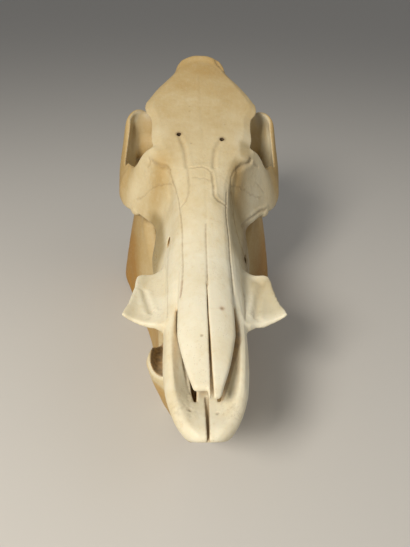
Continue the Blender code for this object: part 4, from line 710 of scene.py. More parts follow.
class Skin:
    """Points of one bone's surface with their normals, its relief and its masks."""

    def __init__(self, solid, h, levels=4):
        lo, hi = solid.bounds()
        self.lo, self.h = lo - 4.3, h
        self.D = sample(solid, h, self.lo, hi + 4.3, levels)
        self.P, self.Q = surface_nets(self.D, h, self.lo)
        self.P = self.P.astype(np.float64)
        for _ in range(2):
            self.relax(0.5)
            self.settle()
        self.N = self.gradient(self.P)
        n = len(self.P)
        self.depth = np.zeros(n)
        self.dark = np.zeros(n)
        self.red = np.zeros(n)
        # how closed in each point is, which the material turns into painted shade in recesses
        self.hollow = self.closed_in()

    def value(self, P):
        g = (P - self.lo) / self.h
        top = np.array(self.D.shape) - 1.001
        g = np.clip(g, 0, top)
        i = g.astype(np.int64)
        f = g - i
        n1, n2 = self.D.shape[1], self.D.shape[2]
        flat = self.D.ravel()
        base = (i[:, 0] * n1 + i[:, 1]) * n2 + i[:, 2]
        out = 0.0
        for a in (0, 1):
            for b in (0, 1):
                for c in (0, 1):
                    w = (f[:, 0] if a else 1 - f[:, 0]) * (f[:, 1] if b else 1 - f[:, 1]) * (f[:, 2] if c else 1 - f[:, 2])
                    out = out + w * flat[base + (a * n1 + b) * n2 + c]
        return out

    def gradient(self, P, step=None):
        e = step or self.h * 0.8
        G = np.stack([self.value(P + e * np.eye(3)[k]) - self.value(P - e * np.eye(3)[k]) for k in range(3)], 1)
        return G / (np.linalg.norm(G, axis=1)[:, None] + 1e-9)

    def relax(self, t):
        """Each point moves towards the middle of its faces."""
        S = np.zeros_like(self.P)
        c = np.zeros(len(self.P))
        mid = self.P[self.Q].mean(1)
        for k in range(4):
            for d in range(3):
                S[:, d] += np.bincount(self.Q[:, k], mid[:, d], len(self.P))
            c += np.bincount(self.Q[:, k], minlength=len(self.P))
        self.P += t * (S / np.maximum(c, 1)[:, None] - self.P)

    def settle(self):
        """Back onto the zero surface."""
        n = self.gradient(self.P, self.h * 0.5)
        self.P -= n * np.clip(self.value(self.P), -self.h, self.h)[:, None]

    def closed_in(self):
        """How much other bone stands in front of each point, from 0 in the open to 1."""
        out = 0.0
        for d, w in ((2.5, 0.3), (5.5, 0.4), (10.0, 0.3)):
            out = out + w * (1 - np.clip(self.value(self.P + d * self.N) / d, 0, 1))
        return out

    def near(self, pts, reach):
        pts = np.array(pts, float)
        lo, hi = pts.min(0) - reach, pts.max(0) + reach
        return np.flatnonzero(((self.P > lo) & (self.P < hi)).all(1))

    def seam(self, pts, width=0.8, depth=0.35, dark=0.6, wiggle=0.5, size=3.0, rim=0.0, red=0.0, seed=3, fade=True):
        """Line over the surface: a groove of that half width and depth, darker in its bed.
        The bed wanders a little, and rim lifts the bone beside it."""
        path = catmull(pts, 5)
        i = self.near(path, 6 + 3 * width)
        if not len(i):
            return
        p, n = self.P[i].copy(), self.N[i]
        if wiggle:
            for k in range(3):
                p[:, k] += wiggle * noise(*self.P[i].T, size, seed + k) + 0.5 * wiggle * noise(*self.P[i].T, size * 0.4, seed + 7 + k)
        best = np.full(len(i), 1e9)
        along = np.zeros(len(i))
        side = np.zeros(len(i))
        for j in range(len(path) - 1):
            a, d = path[j], path[j + 1] - path[j]
            L = d @ d + 1e-9
            t = np.clip(((p - a) @ d) / L, 0, 1)
            r = p - a - t[:, None] * d
            rn = (r * n).sum(1)
            q = (r ** 2).sum(1) - 0.92 * rn ** 2
            m = q < best
            best[m] = q[m]
            along[m] = (j + t[m]) / (len(path) - 1)
        q = np.sqrt(np.maximum(best, 0))
        keep = sstep(-0.02, 0.06, along) * sstep(1.02, 0.94, along) if fade else 1.0
        bed = np.exp(-((q / width) ** 2)) * keep
        self.depth[i] += depth * bed
        if rim:
            self.depth[i] -= rim * np.exp(-(((q - 2.0 * width) / (1.1 * width)) ** 2)) * keep
        rough = 0.75 + 0.25 * noise(*self.P[i].T, 2.2, seed + 11)
        self.dark[i] = np.maximum(self.dark[i], dark * np.exp(-((q / (width * 0.85)) ** 2)) * keep * rough)
        if red:
            self.red[i] = np.maximum(self.red[i], red * np.exp(-((q / (width * 1.6)) ** 2)) * keep)

    def pit(self, c, radius, depth, dark=0.9, red=0.0):
        """Small round hole or spot."""
        i = self.near([c], radius * 3 + 1)
        r = self.P[i] - np.array(c)
        rn = (r * self.N[i]).sum(1)
        q = np.sqrt(np.maximum((r ** 2).sum(1) - 0.9 * rn ** 2, 0))
        g = np.exp(-((q / radius) ** 4))
        self.depth[i] += depth * g
        self.dark[i] = np.maximum(self.dark[i], dark * np.exp(-((q / (radius * 1.05)) ** 4)))
        if red:
            self.red[i] = np.maximum(self.red[i], red * np.exp(-((q / (radius * 1.5)) ** 2)))

    def swell(self, c, radii, height):
        """Low rounded lump, or a dent where height is negative."""
        i = self.near([c], max(radii) * 2.5)
        q = (((self.P[i] - np.array(c)) / np.array(radii)) ** 2).sum(1)
        self.depth[i] -= height * np.exp(-q)

    def pores(self, c, radii, size, depth, dark, seed):
        """Patch of bone opened up into small pits."""
        i = self.near([c], max(radii) * 1.8)
        p = self.P[i]
        q = (((p - np.array(c)) / np.array(radii)) ** 2).sum(1)
        n = noise(*p.T, size, seed) + 0.6 * noise(*p.T, size * 0.5, seed + 1)
        g = np.exp(-q ** 2) * sstep(0.12, 0.6, n)
        self.depth[i] += depth * g
        self.dark[i] = np.maximum(self.dark[i], dark * g)


def finish_points(skin):
    """Relief and a fine unevenness moved into the mesh."""
    x, y, z = skin.P.T
    even = 0.10 * noise(x, y, z, 9, 21) + 0.05 * noise(x, y, z, 3.5, 22) + 0.03 * noise(x, y, z, 1.7, 23)
    skin.P = skin.P - skin.N * (skin.depth - even)[:, None]


def mesh_object(name, P, Q, masks, material):
    me = bpy.data.meshes.new(name)
    P = (P - np.array([CENTRE[0], CENTRE[1], 0.0])) / 1000.0
    me.vertices.add(len(P))
    me.vertices.foreach_set("co", P.astype(np.float32).ravel())
    me.loops.add(len(Q) * 4)
    me.loops.foreach_set("vertex_index", Q.astype(np.int32).ravel())
    me.polygons.add(len(Q))
    me.polygons.foreach_set("loop_start", (np.arange(len(Q)) * 4).astype(np.int32))
    me.update(calc_edges=True)
    me.validate()
    me.shade_smooth()
    for key, v in masks.items():
        a = me.attributes.new(key, "FLOAT", "POINT")
        a.data.foreach_set("value", np.clip(v, 0, 1).astype(np.float32))
    me.materials.append(material)
    ob = bpy.data.objects.new(name, me)
    bpy.context.scene.collection.objects.link(ob)
    return ob


def main_body(P, Q):
    """Only the largest connected mesh, so that no crumb of bone floats free."""
    lab = np.arange(len(P))
    while True:
        m = lab[Q].min(1)
        new = lab.copy()
        for k in range(4):
            np.minimum.at(new, Q[:, k], m)
        new = new[new]
        if (new == lab).all():
            break
        lab = new
    big = np.bincount(lab[Q[:, 0]]).argmax()
    return lab == big, lab[Q[:, 0]] == big


# ---------------------------------------------------------------- what shows on the bones
def cranium_detail(s):
    P = s.P
    x, y, z = P.T
    # holes above the eyes, with the grooves that run down from them; each hole and a flat patch below it are painted
    # near black as the shade inside the opening
    for x0, y0, z0 in BROW_HOLES:
        s.pit((x0, y0, z0), 2.1, 0.2, 1.0)
        s.pit((x0, y0 + 1.0, z0 - 3), 3.0, 0.0, 1.0)
    s.seam([(-20.3, 246.5, 181.5), (-17.2, 235.9, 177.8), (-15.0, 227.0, 174.2), (-13.6, 215.7, 169.5), (-12.8, 206.6, 165.6)], 1.7, 1.0, 0.30, 0.2, rim=0.25)
    s.seam([(16.8, 240.5, 179.8), (12.3, 231.2, 176.2), (10.6, 223.3, 173.0), (9.6, 213.9, 169.1), (9.7, 206.5, 166.0)], 1.7, 1.0, 0.28, 0.2, rim=0.25)
    # folds of the tear bone below the brow; their dark lines are painted shadow under the folds
    s.seam([(-44.2, 229.6, 162.6), (-40.3, 224.3, 162.4), (-34.2, 218.8, 162.7), (-30.6, 216.2, 163.4), (-27.3, 210.3, 161.5)], 1.9, 1.5, 0.45, 0.3, rim=0.3)
    s.seam([(29.0, 213.0, 162.5), (35.9, 221.1, 164.2), (41.6, 226.8, 164.4), (43.2, 229.9, 167.1)], 1.9, 1.5, 0.45, 0.3, rim=0.3)
    s.seam([(46.2, 232.0, 161.9), (51.8, 237.0, 156.2)], 1.3, 0.9, 0.4, 0.3)
    s.seam([(-47.5, 233.5, 165.5), (-46.0, 230.0, 161.0), (-49.0, 232.0, 156.0)], 1.3, 0.9, 0.4, 0.3)
    # seam between brow and nasal bones
    s.seam([(-11.5, 206.9, 165.8), (-3.2, 207.6, 167.1), (3.6, 206.3, 166.5), (7.7, 202.1, 164.4)], 0.8, 0.45, 0.42, 0.9, 2.2, rim=0.25)
    s.seam([(-8.8, 196.8, 161.9), (-3.0, 196.0, 162.4), (2.0, 195.4, 161.9), (7.4, 192.6, 160.2)], 0.8, 0.35, 0.30, 1.0, 2.2)
    s.seam([(7.7, 202.1, 164.4), (8.6, 193.0, 160.4), (8.8, 184.7, 156.4), (9.7, 178.6, 153.4), (13.6, 175.3, 150.6), (18.6, 175.0, 147.0)], 1.0, 0.7, 0.55, 0.5, 2.4, rim=0.3)
    s.seam([(-12.3, 207.0, 165.8), (-11.5, 196.6, 161.2), (-11.2, 185.0, 156.0), (-13.4, 176.4, 151.2), (-18.0, 172.4, 145.9)], 0.9, 0.5, 0.40, 0.5, 2.4, rim=0.2)
    s.seam([(2.0, 205.0, 166.0), (1.8, 190.0, 159.0), (2.0, 172.0, 150.8), (1.9, 152.5, 143.2)], 0.7, 0.15, 0.10, 0.4)
    # side groove between the nasal bones and the face
    s.seam([(-26.5, 206.5, 157.4), (-24.6, 200.2, 153.7), (-20.2, 183.4, 149.4), (-18.7, 171.6, 144.8), (-17.2, 159.0, 140.9), (-16.4, 147.5, 137.1), (-16.1, 132.2, 131.6), (-15.8, 113.2, 126.8), (-16.4, 97.1, 122.4), (-17.2, 88.9, 119.9)], 0.8, 0.6, 0.62, 0.25, 3.0, rim=0.15)
    s.seam([(19.8, 190.4, 154.1), (18.6, 176.3, 147.4), (18.3, 162.4, 141.1), (19.0, 148.0, 134.3), (19.2, 133.1, 128.9), (19.2, 119.1, 124.6), (19.6, 106.3, 121.0), (19.9, 94.6, 118.0)], 0.8, 0.6, 0.62, 0.25, 3.0, rim=0.2)
    s.seam([(-16.0, 104.0, 124.4), (-16.6, 97.1, 122.3), (-17.2, 88.9, 119.9)], 0.5, 0.1, 0.25, 0.2, red=0.55)
    # dark lines where the cheek falls away below the edge of the brow: painted shadow of that edge
    s.seam([(28.5, 214.0, 163.5), (24.7, 203.5, 159.0), (23.5, 196.4, 151.6), (23.6, 185.8, 143.0), (25.6, 177.8, 133.3)], 1.3, 0.8, 0.50, 0.3, 3.0)
    s.seam([(-28.5, 213.0, 162.5), (-25.2, 203.0, 156.0), (-22.6, 190.0, 150.0)], 1.3, 0.6, 0.42, 0.3, 3.0)
    # folds of the deep groove on the right, below the face; their dark is painted shade in the groove
    s.seam([(23.9, 197.7, 151.1), (25.0, 195.1, 143.2), (25.7, 189.3, 138.6), (26.2, 176.4, 132.2), (28.5, 168.4, 124.5), (31.5, 163.9, 116.8), (34.4, 161.8, 108.6), (36.4, 159.3, 100.4)], 1.3, 1.0, 0.95, 0.3, 3.0, rim=0.35)
    s.seam([(61.0, 236.0, 114.0), (55.7, 228.2, 117.2), (46.7, 215.9, 117.1), (39.0, 204.3, 117.9), (34.0, 190.0, 120.5)], 1.3, 0.8, 0.60, 0.3, 3.0, rim=0.4)
    s.seam([(41.3, 205.0, 111.6), (38.5, 186.0, 108.5), (37.5, 172.0, 104.0)], 1.5, 0.6, 0.55, 0.4, 3.0)
    # middle line of the nasal bones
    s.seam([(1.9, 152.5, 143.2), (1.2, 137.5, 137.2), (1.5, 125.4, 133.1), (1.4, 109.5, 129.1), (1.2, 95.9, 126.0)], 0.6, 0.5, 0.75, 0.12, 4.0, fade=False)
    # seam between premaxilla and maxilla
    s.seam([(-27.3, 147.1, 118.0), (-27.1, 127.5, 115.5), (-26.3, 107.8, 114.5), (-26.0, 92.5, 111.4), (-25.8, 80.8, 109.2)], 0.6, 0.35, 0.50, 0.15)
    s.seam([(28.3, 147.1, 117.0), (29.4, 132.0, 113.0), (30.0, 118.8, 110.0), (29.2, 98.4, 108.5), (27.2, 80.7, 108.0)], 0.8, 0.6, 0.55, 0.15)
    s.seam([(23.6, 140.0, 121.0), (24.4, 122.0, 117.0), (25.0, 104.0, 114.0)], 0.6, 0.2, 0.18, 0.2)
    # seams of the cheek
    s.seam([(-24.6, 200.5, 154.2), (-34.2, 211.4, 148.8), (-42.1, 220.1, 142.7), (-47.9, 225.6, 135.4), (-53.9, 231.0, 128.0), (-59.2, 236.1, 123.1)], 0.8, 0.45, 0.45, 0.9, 2.6, rim=0.2)
    s.seam([(24.0, 199.2, 154.2), (31.5, 208.2, 148.9), (40.2, 217.1, 141.3), (47.9, 224.7, 133.2), (55.6, 233.1, 127.9)], 0.8, 0.40, 0.32, 0.9, 2.6, rim=0.2)
    s.seam([(48.9, 230.3, 145.4), (57.0, 236.9, 134.6), (61.0, 239.7, 130.1)], 0.8, 0.35, 0.28, 0.9, 2.6)
    # hollow in front of the cheek, and its lower lobes
    for sx in (-1, 1):
        s.seam([(sx * 60, 246, 112), (sx * 52, 239, 111), (sx * 44, 230, 111.5), (sx * 37, 219, 113)], 2.4, 0.9, 0.12, 0.8, 4.0, rim=0.5, seed=31 + sx)
        s.swell((sx * 66, 249, 108.5), (5, 6, 4), 1.1)
        s.swell((sx * 57, 244, 108), (4.5, 4.5, 3.5), -0.8)
        s.pores((sx * 38.8, 169, 98), (4.5, 9, 8), 1.7, 1.3, 0.95, 40 + sx)
        s.pores((sx * 43, 190, 100), (9, 12, 9), 2.4, 0.3, 0.3, 44 + sx)
        s.pores((sx * 14, 24, 88), (9, 12, 5), 1.5, 0.12, 0.22, 48 + sx)
        s.pores((sx * 34, 92, 104), (9, 7, 4), 1.6, 0.15, 0.22, 52 + sx)
        s.pores((sx * 47, 225, 150), (14, 14, 12), 2.0, 0.12, 0.12, 56 + sx)
        s.pores((sx * 20, 200, 162), (8, 16, 10), 2.0, 0.10, 0.10, 60 + sx)
        # roots of the muscle lines on the side of the braincase
        for k in range(5):
            s.seam([(sx * (40 - 2 * k), 300 + 7 * k, 172 + 4 * k), (sx * (33 - 2 * k), 300 + 8 * k, 186 + 4 * k)], 1.2, 0.18, 0.08, 0.8, 3.0, seed=70 + k)
    s.seam([(-15, 60, 100), (-14.1, 51.6, 95.4), (-12.2, 43.4, 90.7), (-9.8, 33.7, 88.1)], 0.9, 0.5, 0.5, 0.2)
    # creases of the shelves over the tusk sockets
    s.seam([(-44.2, 117.2, 106.0), (-41.8, 108.0, 105.0), (-39.3, 99.5, 104.3), (-37.1, 92.5, 104.1)], 2.0, 0.9, 0.22, 0.3, rim=0.5)
    s.seam([(44.5, 126.7, 107.5), (40.3, 112.5, 105.0), (37.0, 98.4, 104.2), (34.6, 86.0, 103.8)], 2.0, 0.9, 0.22, 0.3, rim=0.5)
    # small holes and spots; the holes are painted dark as the shade inside them
    s.pit((10.4, 77.4, 120.6), 1.25, 0.25, 0.55, 0.7)
    s.pit((-3.3, 56.3, 116.2), 0.9, 0.4, 0.6)
    s.pit((-10.4, 21.4, 89.4), 1.0, 0.7, 0.6)
    s.pit((5.6, 19.6, 88.6), 0.9, 0.6, 0.6)
    for c in ((-10.7, 284.1, 197.1), (-10.7, 277.3, 194.3), (-9.3, 235.0, 177.9), (21.0, 260.5, 187.3)):
        s.pit(c, 0.8, 0.3, 0.4)
    # bite out of the right corner of the crest, growth line down the brow
    s.seam([(15.5, 356.0, 226.5), (19.0, 349.0, 222.0), (24.0, 343.5, 216.5)], 1.7, 1.3, 0.6, 0.4, rim=0.3)
    s.seam([(-1.5, 330, 217), (-1.0, 300, 204), (-0.5, 270, 192), (0.2, 235, 179)], 1.2, 0.12, 0.10, 0.8, 5.0)
    # growth lines along the palate and the skull base
    s.seam([(0, 40, 84), (0, 90, 84), (0, 150, 83), (0, 205, 82)], 0.7, 0.5, 0.5, 0.3, 3.0)
    s.seam([(-14, 178, 80), (-7, 181, 81.5), (0, 182, 82), (7, 181, 81.5), (14, 178, 80)], 0.7, 0.35, 0.4, 0.6, 2.5)


def cranium_masks(s):
    x, y, z = s.P.T
    nx, ny, nz = s.N.T
    ax = np.abs(x)
    tone = np.interp(y, [0, 40, 90, 130, 170, 200, 240, 290, 340, 372], [0.09, 0.04, 0.02, 0.09, 0.20, 0.29, 0.35, 0.48, 0.64, 0.75])
    face = sstep(24, 36, ax) * sstep(185, 200, y) * sstep(262, 246, y)
    tone = tone + 0.10 * sstep(-16, -22, x) * sstep(100, 85, y)
    # the right of the face a little lighter: painted light against its shade
    tone = tone * (1 - face) + (0.30 - 0.04 * sstep(-20, 30, x)) * face
    # painted shade on the right side of the brow by the tear bone; the inner part of the left cheek darker
    tone = tone + 0.40 * bump_at(x, 31, 8) * bump_at(y, 212, 22) * sstep(172, 160, z) + 0.34 * bump_at(x, -36, 12) * bump_at(y, 218, 16)
    # darker over the arches: painted shade of their outer faces
    arch = sstep(50, 62, ax) * sstep(236, 262, y)
    tone = tone * (1 - arch) + 0.66 * arch
    inner = sstep(250, 262, y) * sstep(26, 34, ax) * sstep(200, 188, z) * sstep(0.2, -0.25, nx * np.sign(x) - 0.15 * (ax < 45))
    tone = tone * (1 - inner) + 0.45 * inner
    # faces of the arch turned inwards lighter: painted light where the lamps leave them in shade
    wall = sstep(50, 56, ax) * sstep(-0.35, -0.75, nx * np.sign(x)) * sstep(112, 122, z)
    tone = tone * (1 - wall) + 0.10 * wall
    # faces turned downwards darker: painted shade
    under = sstep(-0.1, -0.6, nz) * sstep(60, 110, y)
    tone = np.maximum(tone, 0.40 * under)
    side = sstep(290, 305, y) * sstep(205, 190, z) * sstep(58, 48, ax)
    tone = np.maximum(tone, 0.58 * side)
    # grey over the right of the face is a stain of the bone; at the right of the nasal root and behind each eye the
    # grey is painted shade
    grey_stain_and_shade = face * sstep(8, 30, x) * 0.4 + 0.5 * bump_at(x, 17, 5) * bump_at(y, 178, 22)
    grey_stain_and_shade = np.minimum(grey_stain_and_shade + bump_at(x, -51, 6) * bump_at(z, 184, 7) * sstep(276, 282, y) + bump_at(x, 60, 5) * bump_at(z, 180, 7) * sstep(296, 302, y), 1)
    # walls of the nasal passage, seen through the slits beside the nasal bones, painted dark brown as their shade, most
    # on the right
    passage = nasal_cavity()[0](x, y, z)
    inside = sstep(1.6, 0.6, passage) * sstep(16, 22, y) * (0.18 + 0.62 * sstep(-8, -4, x)) * sstep(97, 92, z - 0.28 * (y - 35)) * sstep(0.4, 1.2, nasals()[0](x, y, z))
    rim = 22.5 - 0.38 * np.maximum(63 - y, 0)
    band = sstep(rim + 0.6, rim - 0.4, x) * sstep(6, 9, x) * sstep(26, 31, y) * sstep(100, 85, y) * sstep(0.3, 0.9, nasals()[0](x, y, z)) * sstep(110, 106, z - 0.10 * (y - 60))
    inside = np.maximum(inside, 0.75 * band)
    # painted shade: the floor of the front midline gap and the deep hollow below the right cheek painted dark
    slit = sstep(0.5, 0.2, midline_gap()[0](x, y, z)) * sstep(40, 34, y + 0 * x) * sstep(100, 96, z)
    deep = sstep(121, 112, z) * sstep(28, 33, x) * sstep(52, 46, x) * sstep(150, 158, y) * sstep(216, 206, y)
    s.dark[:] = np.maximum(s.dark, np.maximum(0.50 * slit, 0.55 * deep))
    # painted shade: the deep groove on the right of the nose, the hollow below the left cheek, the right of the brow
    # and nasal root, under the right tusk shelf and on the outer faces of the arches
    right = sstep(19, 23, x) * sstep(48, 38, x) * sstep(132, 150, y) * sstep(214, 196, y) * sstep(158, 146, z - 0.35 * (y - 190))
    left = sstep(-27, -33, x) * sstep(-52, -44, x) * sstep(150, 162, y) * sstep(222, 208, y) * sstep(128, 118, z)
    root = bump_at(x, 30, 7) * bump_at(y, 216, 13) * sstep(172, 166, z)
    brow = sstep(31, 35, x) * sstep(45, 40, x) * sstep(222, 228, y) * sstep(246, 238, y) * sstep(160, 166, z)
    shelf = sstep(33, 38, x) * sstep(90, 98, z) * sstep(84, 94, y) * sstep(134, 126, y)
    painted_shade = np.maximum(np.maximum(0.60 * right, 0.75 * left), np.maximum(0.6 * root, 0.55 * brow))
    painted_shade = np.maximum(painted_shade, np.maximum(0.42 * shelf, 0.5 * bump_at(x, 11, 4) * bump_at(y, 176, 5) * sstep(145, 148, z)))
    painted_shade = np.maximum(painted_shade, 0.35 * sstep(70, 75, ax) * sstep(262, 276, y) * sstep(306, 294, y))
    tooth = sstep(75.0, 73.5, z) * sstep(88, 91, y) * sstep(218, 215, y) * sstep(12, 16, ax)
    return {"tone": tone, "grey_stain_and_shade": grey_stain_and_shade, "inside": inside, "tooth": tooth, "painted_shade": painted_shade}


def jaw_detail(s):
    for sx in (-1, 1):
        s.seam([(sx * 70, 300, 30), (sx * 73, 285, 20), (sx * 72, 268, 12), (sx * 66, 250, 8)], 1.6, 0.7, 0.15, 1.4, 4.0, rim=0.5, seed=81 + sx)
        for k in range(6):
            s.seam([(sx * (74 - k), 312 - 9 * k, 52 - 7 * k), (sx * (78 - 2 * k), 300 - 9 * k, 38 - 6 * k)], 1.2, 0.4, 0.10, 0.8, 3.0, seed=90 + k)
        s.pores((sx * 24, 86, 66), (7, 20, 9), 1.9, 0.7, 0.5, 84 + sx)
        s.pores((sx * 20, 60, 40), (10, 22, 16), 1.8, 0.15, 0.2, 88 + sx)
        s.pores((sx * 76, 290, 20), (6, 26, 20), 2.0, 0.2, 0.15, 92 + sx)
    s.seam([(0, 22, 58), (0, 40, 36), (0, 60, 20), (0, 90, 3)], 0.7, 0.5, 0.4, 0.4, 2.5)


def jaw_masks(s):
    x, y, z = s.P.T
    nx, ny, nz = s.N.T
    ax = np.abs(x)
    tone = 0.34 + 0.0 * x
    out = sstep(52, 74, ax) * sstep(205, 250, y)
    low = sstep(92, 20, z)
    tone = tone + 0.24 * sstep(190, 235, y) + out * (0.25 + 0.35 * low)
    # faces turned downwards darker: painted shade
    tone = np.maximum(tone, 0.45 * sstep(-0.2, -0.7, nz))
    tone = np.maximum(tone, 0.78 * sstep(76, 66, y) * sstep(69, 60, z))
    tone = np.maximum(tone, 0.80 * sstep(62, 42, z) * sstep(218, 195, y) * sstep(85, 105, y))
    hole = sweep(TUSK_SOCKET)[0](ax, y, z)
    spongy = sstep(1.1, 0.3, hole)
    tone = tone * (1 - 0.6 * sstep(4.5, 2.5, hole) * sstep(66, 71, z))
    tooth = sstep(59.0, 60.5, z) * sstep(103, 106, y) * sstep(219, 216, y) * sstep(12, 16, ax)
    # painted shade on the right of the jaw; the rear of the jaw darker on both sides
    painted_shade = np.maximum(0.55 * sstep(20, 40, x) * sstep(150, 170, y) * sstep(285, 255, y), 0.25 * out)
    return {"tone": tone, "grey_stain_and_shade": 0.0 * x, "inside": 0.95 * spongy, "tooth": tooth, "painted_shade": painted_shade}


# ---------------------------------------------------------------- dry bone
def bone(name):
    mat = bpy.data.materials.new(name)
    mat.use_nodes = True
    nt = mat.node_tree
    nodes, links = nt.nodes, nt.links
    p = nodes["Principled BSDF"]
    where = nodes.new("ShaderNodeTexCoord").outputs["Object"]

    def mask(key):
        n = nodes.new("ShaderNodeAttribute")
        n.attribute_name = key
        return n.outputs["Fac"]

    def mathn(op, a, b=None, clamp=False):
        n = nodes.new("ShaderNodeMath")
        n.operation = op
        n.use_clamp = clamp
        for i, v in enumerate((a, b)):
            if v is None:
                continue
            if isinstance(v, (int, float)):
                n.inputs[i].default_value = v
            else:
                links.new(v, n.inputs[i])
        return n.outputs[0]

    # the RGBA sockets of a Mix node share their names with its other kinds
    def mixc(f, a, b, blend="MIX"):
        n = nodes.new("ShaderNodeMix")
        n.data_type = "RGBA"
        n.blend_type = blend
        for sock, v in ((n.inputs[0], f), (n.inputs[6], a), (n.inputs[7], b)):
            if isinstance(v, (int, float)):
                sock.default_value = v
            elif isinstance(v, tuple):
                sock.default_value = (*v, 1)
            else:
                links.new(v, sock)
        return n.outputs[2]

    def cloud(scale, detail=3.0, rough=0.5, stretch=None):
        n = nodes.new("ShaderNodeTexNoise")
        n.inputs["Scale"].default_value = scale
        n.inputs["Detail"].default_value = detail
        n.inputs["Roughness"].default_value = rough
        if stretch:
            m = nodes.new("ShaderNodeMapping")
            m.inputs["Scale"].default_value = stretch
            links.new(where, m.inputs["Vector"])
            links.new(m.outputs["Vector"], n.inputs["Vector"])
        else:
            links.new(where, n.inputs["Vector"])
        return n.outputs["Fac"]

    def ramp(f, stops, colours=True):
        n = nodes.new("ShaderNodeValToRGB")
        e = n.color_ramp.elements
        while len(e) < len(stops):
            e.new(0.5)
        for k, (t, c) in zip(e, stops):
            k.position = t
            k.color = (*c, 1) if colours else (c, c, c, 1)
        links.new(f, n.inputs["Fac"])
        return n.outputs["Color"]

    broad, fine, grain = cloud(38, 4, 0.55), cloud(210, 4, 0.6), cloud(1300, 3, 0.6)
    fibre = cloud(420, 3, 0.6, (1.0, 0.14, 1.0))
    t = mathn("ADD", mask("tone"), mathn("MULTIPLY", mathn("SUBTRACT", broad, 0.5), 0.42))
    t = mathn("ADD", t, mathn("MULTIPLY", mathn("SUBTRACT", fine, 0.5), 0.16), clamp=True)
    col = ramp(t, BONE_TONES)
    # grey: a stain on the right of the face, and painted shade at the nasal root and behind the eyes
    col = mixc(mathn("MULTIPLY", mask("grey_stain_and_shade"), 0.55), col, GREY_STAIN_AND_SHADE)
    col = mixc(mask("tooth"), col, ENAMEL)
    # small yellow and pale flecks
    col = mixc(mathn("MULTIPLY", ramp(fine, [(0.60, 0), (0.74, 1)], False), 0.20), col, (0.60, 0.44, 0.18))
    col = mixc(mathn("MULTIPLY", ramp(fibre, [(0.52, 0), (0.72, 1)], False), 0.09), col, (0.84, 0.78, 0.62))
    # painted shade in recesses, darker where other bone closes in on a point
    h = ramp(mask("hollow"), [(0.30, 0), (0.85, 1)], False)
    col = mixc(mathn("MULTIPLY", h, 0.55), col, mixc(1.0, col, (0.72, 0.50, 0.26), "MULTIPLY"))
    # nasal passage walls painted dark brown as their shade; in the jaw's tusk sockets it is the spongy bone's own
    # red-brown
    col = mixc(mathn("MULTIPLY", mask("inside"), 0.80), col, ramp(fine, [(0.35, (0.15, 0.07, 0.025)), (0.65, (0.46, 0.27, 0.10))]))
    # painted shade, multiplied over the bone colour
    col = mixc(mask("painted_shade"), col, mixc(1.0, col, (0.45, 0.385, 0.23), "MULTIPLY"))
    col = mixc(mathn("MULTIPLY", mask("red"), 0.55), col, (0.42, 0.17, 0.09))
    # seams and holes: the brown of the joints themselves, going to near black where it is painted shade in holes, slits
    # and deep grooves
    d = mathn("MULTIPLY", mask("dark"), mathn("ADD", 0.75, mathn("MULTIPLY", fine, 0.5)), clamp=True)
    col = mixc(d, col, ramp(d, [(0.45, SEAM_BROWN), (0.95, DARK_BED)]))
    pores = nodes.new("ShaderNodeTexVoronoi")
    pores.inputs["Scale"].default_value = 620
    links.new(where, pores.inputs["Vector"])
    hole = mathn("MULTIPLY", ramp(pores.outputs["Distance"], [(0.10, 1), (0.24, 0)], False), ramp(cloud(70, 2), [(0.50, 0), (0.62, 1)], False))
    col = mixc(mathn("MULTIPLY", hole, 0.30), col, (0.34, 0.22, 0.11))
    links.new(col, p.inputs["Base Color"])
    r = mathn("ADD", 0.44, mathn("MULTIPLY", fine, 0.22))
    r = mathn("SUBTRACT", r, mathn("MULTIPLY", mask("tooth"), 0.20))
    links.new(r, p.inputs["Roughness"])
    p.inputs["Specular IOR Level"].default_value = 0.42
    p.inputs["Subsurface Weight"].default_value = 0.06
    p.inputs["Subsurface Radius"].default_value = (1.0, 0.65, 0.35)
    p.inputs["Subsurface Scale"].default_value = 0.0015
    height = mathn("ADD", mathn("MULTIPLY", grain, 0.35), mathn("ADD", mathn("MULTIPLY", fine, 0.9), mathn("MULTIPLY", fibre, 0.45)))
    height = mathn("SUBTRACT", height, mathn("MULTIPLY", hole, 0.5))
    b = nodes.new("ShaderNodeBump")
    b.inputs["Strength"].default_value = 0.35
    b.inputs["Distance"].default_value = 0.0006
    links.new(height, b.inputs["Height"])
    links.new(b.outputs["Normal"], p.inputs["Normal"])
    return mat


BONE_TONES = [(0.0, (0.83, 0.785, 0.62)), (0.25, (0.70, 0.60, 0.385)), (0.5, (0.58, 0.45, 0.235)), (0.75, (0.50, 0.335, 0.125)), (1.0, (0.46, 0.245, 0.05))]
GREY_STAIN_AND_SHADE = (0.52, 0.50, 0.42)
ENAMEL = (0.78, 0.72, 0.56)
SEAM_BROWN = (0.27, 0.185, 0.095)
# near black: painted shade at the bottom of holes, slits and deep grooves
DARK_BED = (0.055, 0.032, 0.016)


def build_piece(name, solid, detail, masks, material, nodes, place=None):
    s = Skin(solid, FINE)
    detail(s)
    m = masks(s)
    m.update(hollow=s.hollow, dark=s.dark, red=s.red)
    finish_points(s)
    keep, faces = main_body(s.P, s.Q)
    index = np.cumsum(keep) - 1
    P, Q = s.P[keep], index[s.Q[faces]]
    if place:
        P = place(P)
    # stay inside the box of the CAD model
    low = np.array(cad_low) * 1000 + np.array([CENTRE[0], CENTRE[1], 0])
    high = np.array(cad_high) * 1000 + np.array([CENTRE[0], CENTRE[1], 0])
    P = np.clip(P, low, high)
    m = {k: np.asarray(v, float)[keep] for k, v in m.items()}
    ob = mesh_object(name, P, Q, m, material)
    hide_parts(*nodes)
    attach(ob, "root")
    return ob


